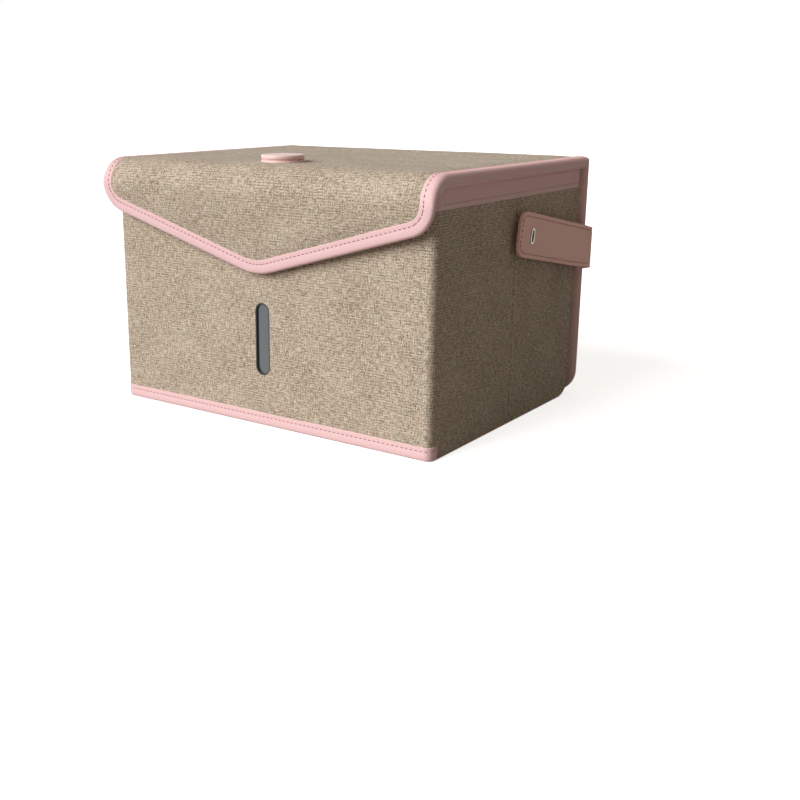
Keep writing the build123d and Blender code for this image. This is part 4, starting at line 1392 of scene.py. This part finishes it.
for side, side_name in both_sides:

    def on_side(across, up, depth, side=side):
        """A point of a side wall's edge, laid out from front to back and upwards."""
        return (side * (half_width - depth), across, max(up, 0.0))

    def side_rows(s):
        """Rows across a side wall, closer together at the crease and towards both edges."""
        t = 2 * s - 1
        reach = (side_back - side_front) / 2 - side_clearance
        return side_crease + reach * (even_share * t + (1 - even_share) * t * abs(t) * (3 - 2 * abs(t)))

    def side_cloth_place(s, t, side=side):
        y = side_rows(s)
        low = 1.0 + foot_line(y)
        up = low + (wall_height - rim_height + 3 - low) * t
        dip = side_dip * max(0.0, 1 - abs(y - side_crease) / side_dip_half)
        edge = min(1.0, min(abs(y - side_back), abs(y - side_front), abs(y - side_crease)) / side_calm)
        rise = uneven(y, up, side_unevenness, 23 + side) * edge
        return (side * (half_width - dip + rise), y, up), (y, up)

    cloth = from_grid(side_name + "_gusset_cloth", 64, 30, side_cloth_place, side_wall, (side, 0, 0))
    dress(cloth, linen)
    rear, front = "side_%s_rear" % side_name, "side_%s_front" % side_name
    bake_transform(cloth)
    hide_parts(side_name + "_rear_cloth", side_name + "_front_cloth")

    stops = [side_rows(k / side_steps) for k in range(side_steps + 1)]
    rim_run = [(Vector((y, wall_height)), Vector((1, 0))) for y in stops]
    slopes = [(foot_line(y + slope_step) - foot_line(y - slope_step)) / (2 * slope_step) for y in stops]
    foot_run = [
        (Vector((y, foot_line(y))), Vector((1, slope)).normalized()) for y, slope in zip(stops, slopes)
    ]
    rim = sew_tape(
        side_name + "_rim_tape", rim_run, lambda point: side_rim_section,
        on_side, (side, 0, 0), inward_side=-1, wall=edge_wall,
    )
    foot = sew_tape(
        side_name + "_foot_hem", foot_run, lambda point: side_foot_section,
        on_side, (side, 0, 0), wall=edge_wall,
    )
    rim_stitches = sew_stitches(
        side_name + "_rim_stitches", rim_run, rim_stitch_inset, edge_stitch_depth, on_side, "pink",
        inward_side=-1,
    )
    fold_run = [(Vector((side_crease + crease_stitch_inset, z)), Vector((0, 1))) for z in crease_stops]
    fold_stitches = sew_stitches(
        side_name + "_crease_stitches", fold_run, 0, crease_stitch_depth, on_side, "sand",
    )
    dress(rim, twill)
    dress(foot, linen)
    for piece in (rim, foot, rim_stitches):
        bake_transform(piece)
    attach(fold_stitches, rear)
    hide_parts(side_name + "_rear_bands", side_name + "_front_bands")

    def hinge_cloth_place(s, t, side=side):
        y = side_back + hinge_cloth_half - 2 * hinge_cloth_half * s
        low = foot_line(y) + 0.6
        up = low + (wall_height - 1 - low) * t
        return (side * (half_width + 0.1), y, up), (y, up)

    hinge_cloth = from_grid(side_name + "_hinge_cloth", 12, 20, hinge_cloth_place, edge_wall, (side, 0, 0))
    dress(hinge_cloth, linen)
    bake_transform(hinge_cloth)

    # The rear half's board, with its lower rear corner rounded off to match the cloth.
    board_low, board_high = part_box(side_name + "_rear_board")
    bpy.ops.object.select_all(action="DESELECT")
    bpy.ops.mesh.primitive_cube_add(
        size=1, location=(board_low + board_high) / 2, scale=board_high - board_low,
    )
    rear_board = bpy.context.object
    rear_board.name = side_name + "_rear_side_board"
    bpy.ops.object.transform_apply(location=True, rotation=True, scale=True)
    bpy.ops.object.mode_set(mode="EDIT")
    bpy.ops.mesh.select_all(action="DESELECT")
    bpy.ops.object.mode_set(mode="OBJECT")
    for edge in rear_board.data.edges:
        ends = [rear_board.data.vertices[index].co for index in edge.vertices]
        edge.select = all(end.y > board_high[1] - 1e-5 and end.z < board_low[2] + 1e-5 for end in ends)
    bpy.ops.object.mode_set(mode="EDIT")
    bpy.ops.mesh.select_mode(type="EDGE")
    bpy.ops.mesh.bevel(offset=board_corner / 1000, segments=8)
    bpy.ops.object.mode_set(mode="OBJECT")
    dress(rear_board, film_on_side)
    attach(rear_board, rear)
    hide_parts(side_name + "_rear_board")


# Base: cloth under two film-faced boards with slanting ends, creased across the middle, and loose
# triangles of cloth in the four corners.
base_half = 125.0
base_taper = 1.12
base_rear_hinge = 101.1
base_front_hinge = -93.1
base_crease = 4.0
corner_outer = 127.2
corner_slant = 0.3 * sqrt(1 + base_taper ** 2)
corner_length = 97.0
corner_lift = 4.0
floor_gap = 0.02
base_wall = 0.7
corner_wall = 0.6


def base_half_at(y):
    """Half the width of the base, which narrows from each hinge to the crease."""
    hinge = base_rear_hinge if y > base_crease else base_front_hinge
    return base_half - base_taper * abs(hinge - y)


def base_cloth_place(s, t):
    reach = (base_rear_hinge - base_front_hinge) / 2
    middle_t = 2 * t - 1
    y = (base_rear_hinge + base_front_hinge) / 2 + reach * (0.4 * middle_t + 0.6 * middle_t ** 3)
    across = (2 * s - 1) * base_half_at(y)
    return (across, y, floor_gap), (across, y)


base_cloth_sheet = from_grid("base_cloth_sheet", 20, 40, base_cloth_place, base_wall, (0, 0, -1))
dress(base_cloth_sheet, linen)
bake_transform(base_cloth_sheet)
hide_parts("base_rear_cloth", "base_front_cloth")

for half_name, hinge in (("rear", base_rear_hinge), ("front", base_front_hinge)):
    for side, side_name in both_sides:
        toward = -1 if half_name == "rear" else 1

        def corner_place(s, t, side=side, hinge=hinge, toward=toward):
            y = hinge + toward * corner_length * t
            inner = base_half - base_taper * abs(hinge - y) + corner_slant
            across = inner + (corner_outer - inner) * s
            return (side * across, y, floor_gap + min(foot_line(y), corner_lift) * s * s), (across, y)

        corner = from_grid(
            "base_%s_%s_corner" % (half_name, side_name), 8, 16, corner_place, corner_wall, (0, 0, -1),
        )
        dress(corner, linen)
        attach(corner, "base_" + half_name)
        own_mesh(corner)
        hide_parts("base_%s_corners" % half_name)


# Boards, electronics and small fittings keep the shapes of their solids. Each gets its own finish:
# pressed card, moulded plastic, plated steel, coated circuit board, foil or glass.
board_card, shader = plain_finish(
    "pressed_grey_board", "#B8B2A6", "#D8D3C8", 0.9, scale=700.0, detail=4.0, depth=0.08,
)
black_abs, shader = plain_finish("moulded_black_abs", "#141414", "#1E1E1E", 0.45)
smoked_acrylic, shader = plain_finish("smoked_acrylic", "#495055", "#51585D", 0.08, depth=0.002)
shader.inputs["Coat Weight"].default_value = 0.5
plated_steel, shader = plain_finish("nickel_plated_steel", "#8F8B84", "#A8A49C", 0.34, metallic=1.0)
solder_mask, shader = plain_finish("green_solder_mask", "#14532E", "#1B6438", 0.35)
white_mask, shader = plain_finish("white_solder_mask", "#E4E4E2", "#F0F0EE", 0.4)
foil_pouch, shader = plain_finish(
    "battery_foil_pouch", "#B4B7BB", "#CCCED1", 0.35, metallic=0.7, scale=120.0, depth=0.2,
)
chip_resin, shader = plain_finish("chip_resin", "#D8CF9A", "#E8E0B0", 0.15)
quartz, shader = plain_finish("clear_quartz_cover", "#F2F7FA", "#FFFFFF", 0.05, depth=0.001)
shader.inputs["Transmission Weight"].default_value = 1.0

finishes = {
    "back_board": board_card, "strip_board": board_card, "lid_board": board_card, "flap_board": board_card,
    "front_board": board_card, "window_frame": black_abs, "window_lens": smoked_acrylic,
    "strap_eyelet": plated_steel, "front_magnets": plated_steel, "flap_magnets": plated_steel,
    "charging_socket": plated_steel, "circuit_board": solder_mask, "button_switch": black_abs,
    "battery": foil_pouch, "lamp_board": white_mask, "lamp_chips": chip_resin, "lamp_cover": quartz,
    "base_rear_board": film_on_base, "base_front_board": film_on_base,
}
for side_name in ("right", "left"):
    for half_name in ("rear", "front"):
        finishes["%s_%s_board" % (side_name, half_name)] = film_on_side
for name, material in finishes.items():
    node_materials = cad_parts[name].data.materials
    node_materials.clear()
    node_materials.append(material)
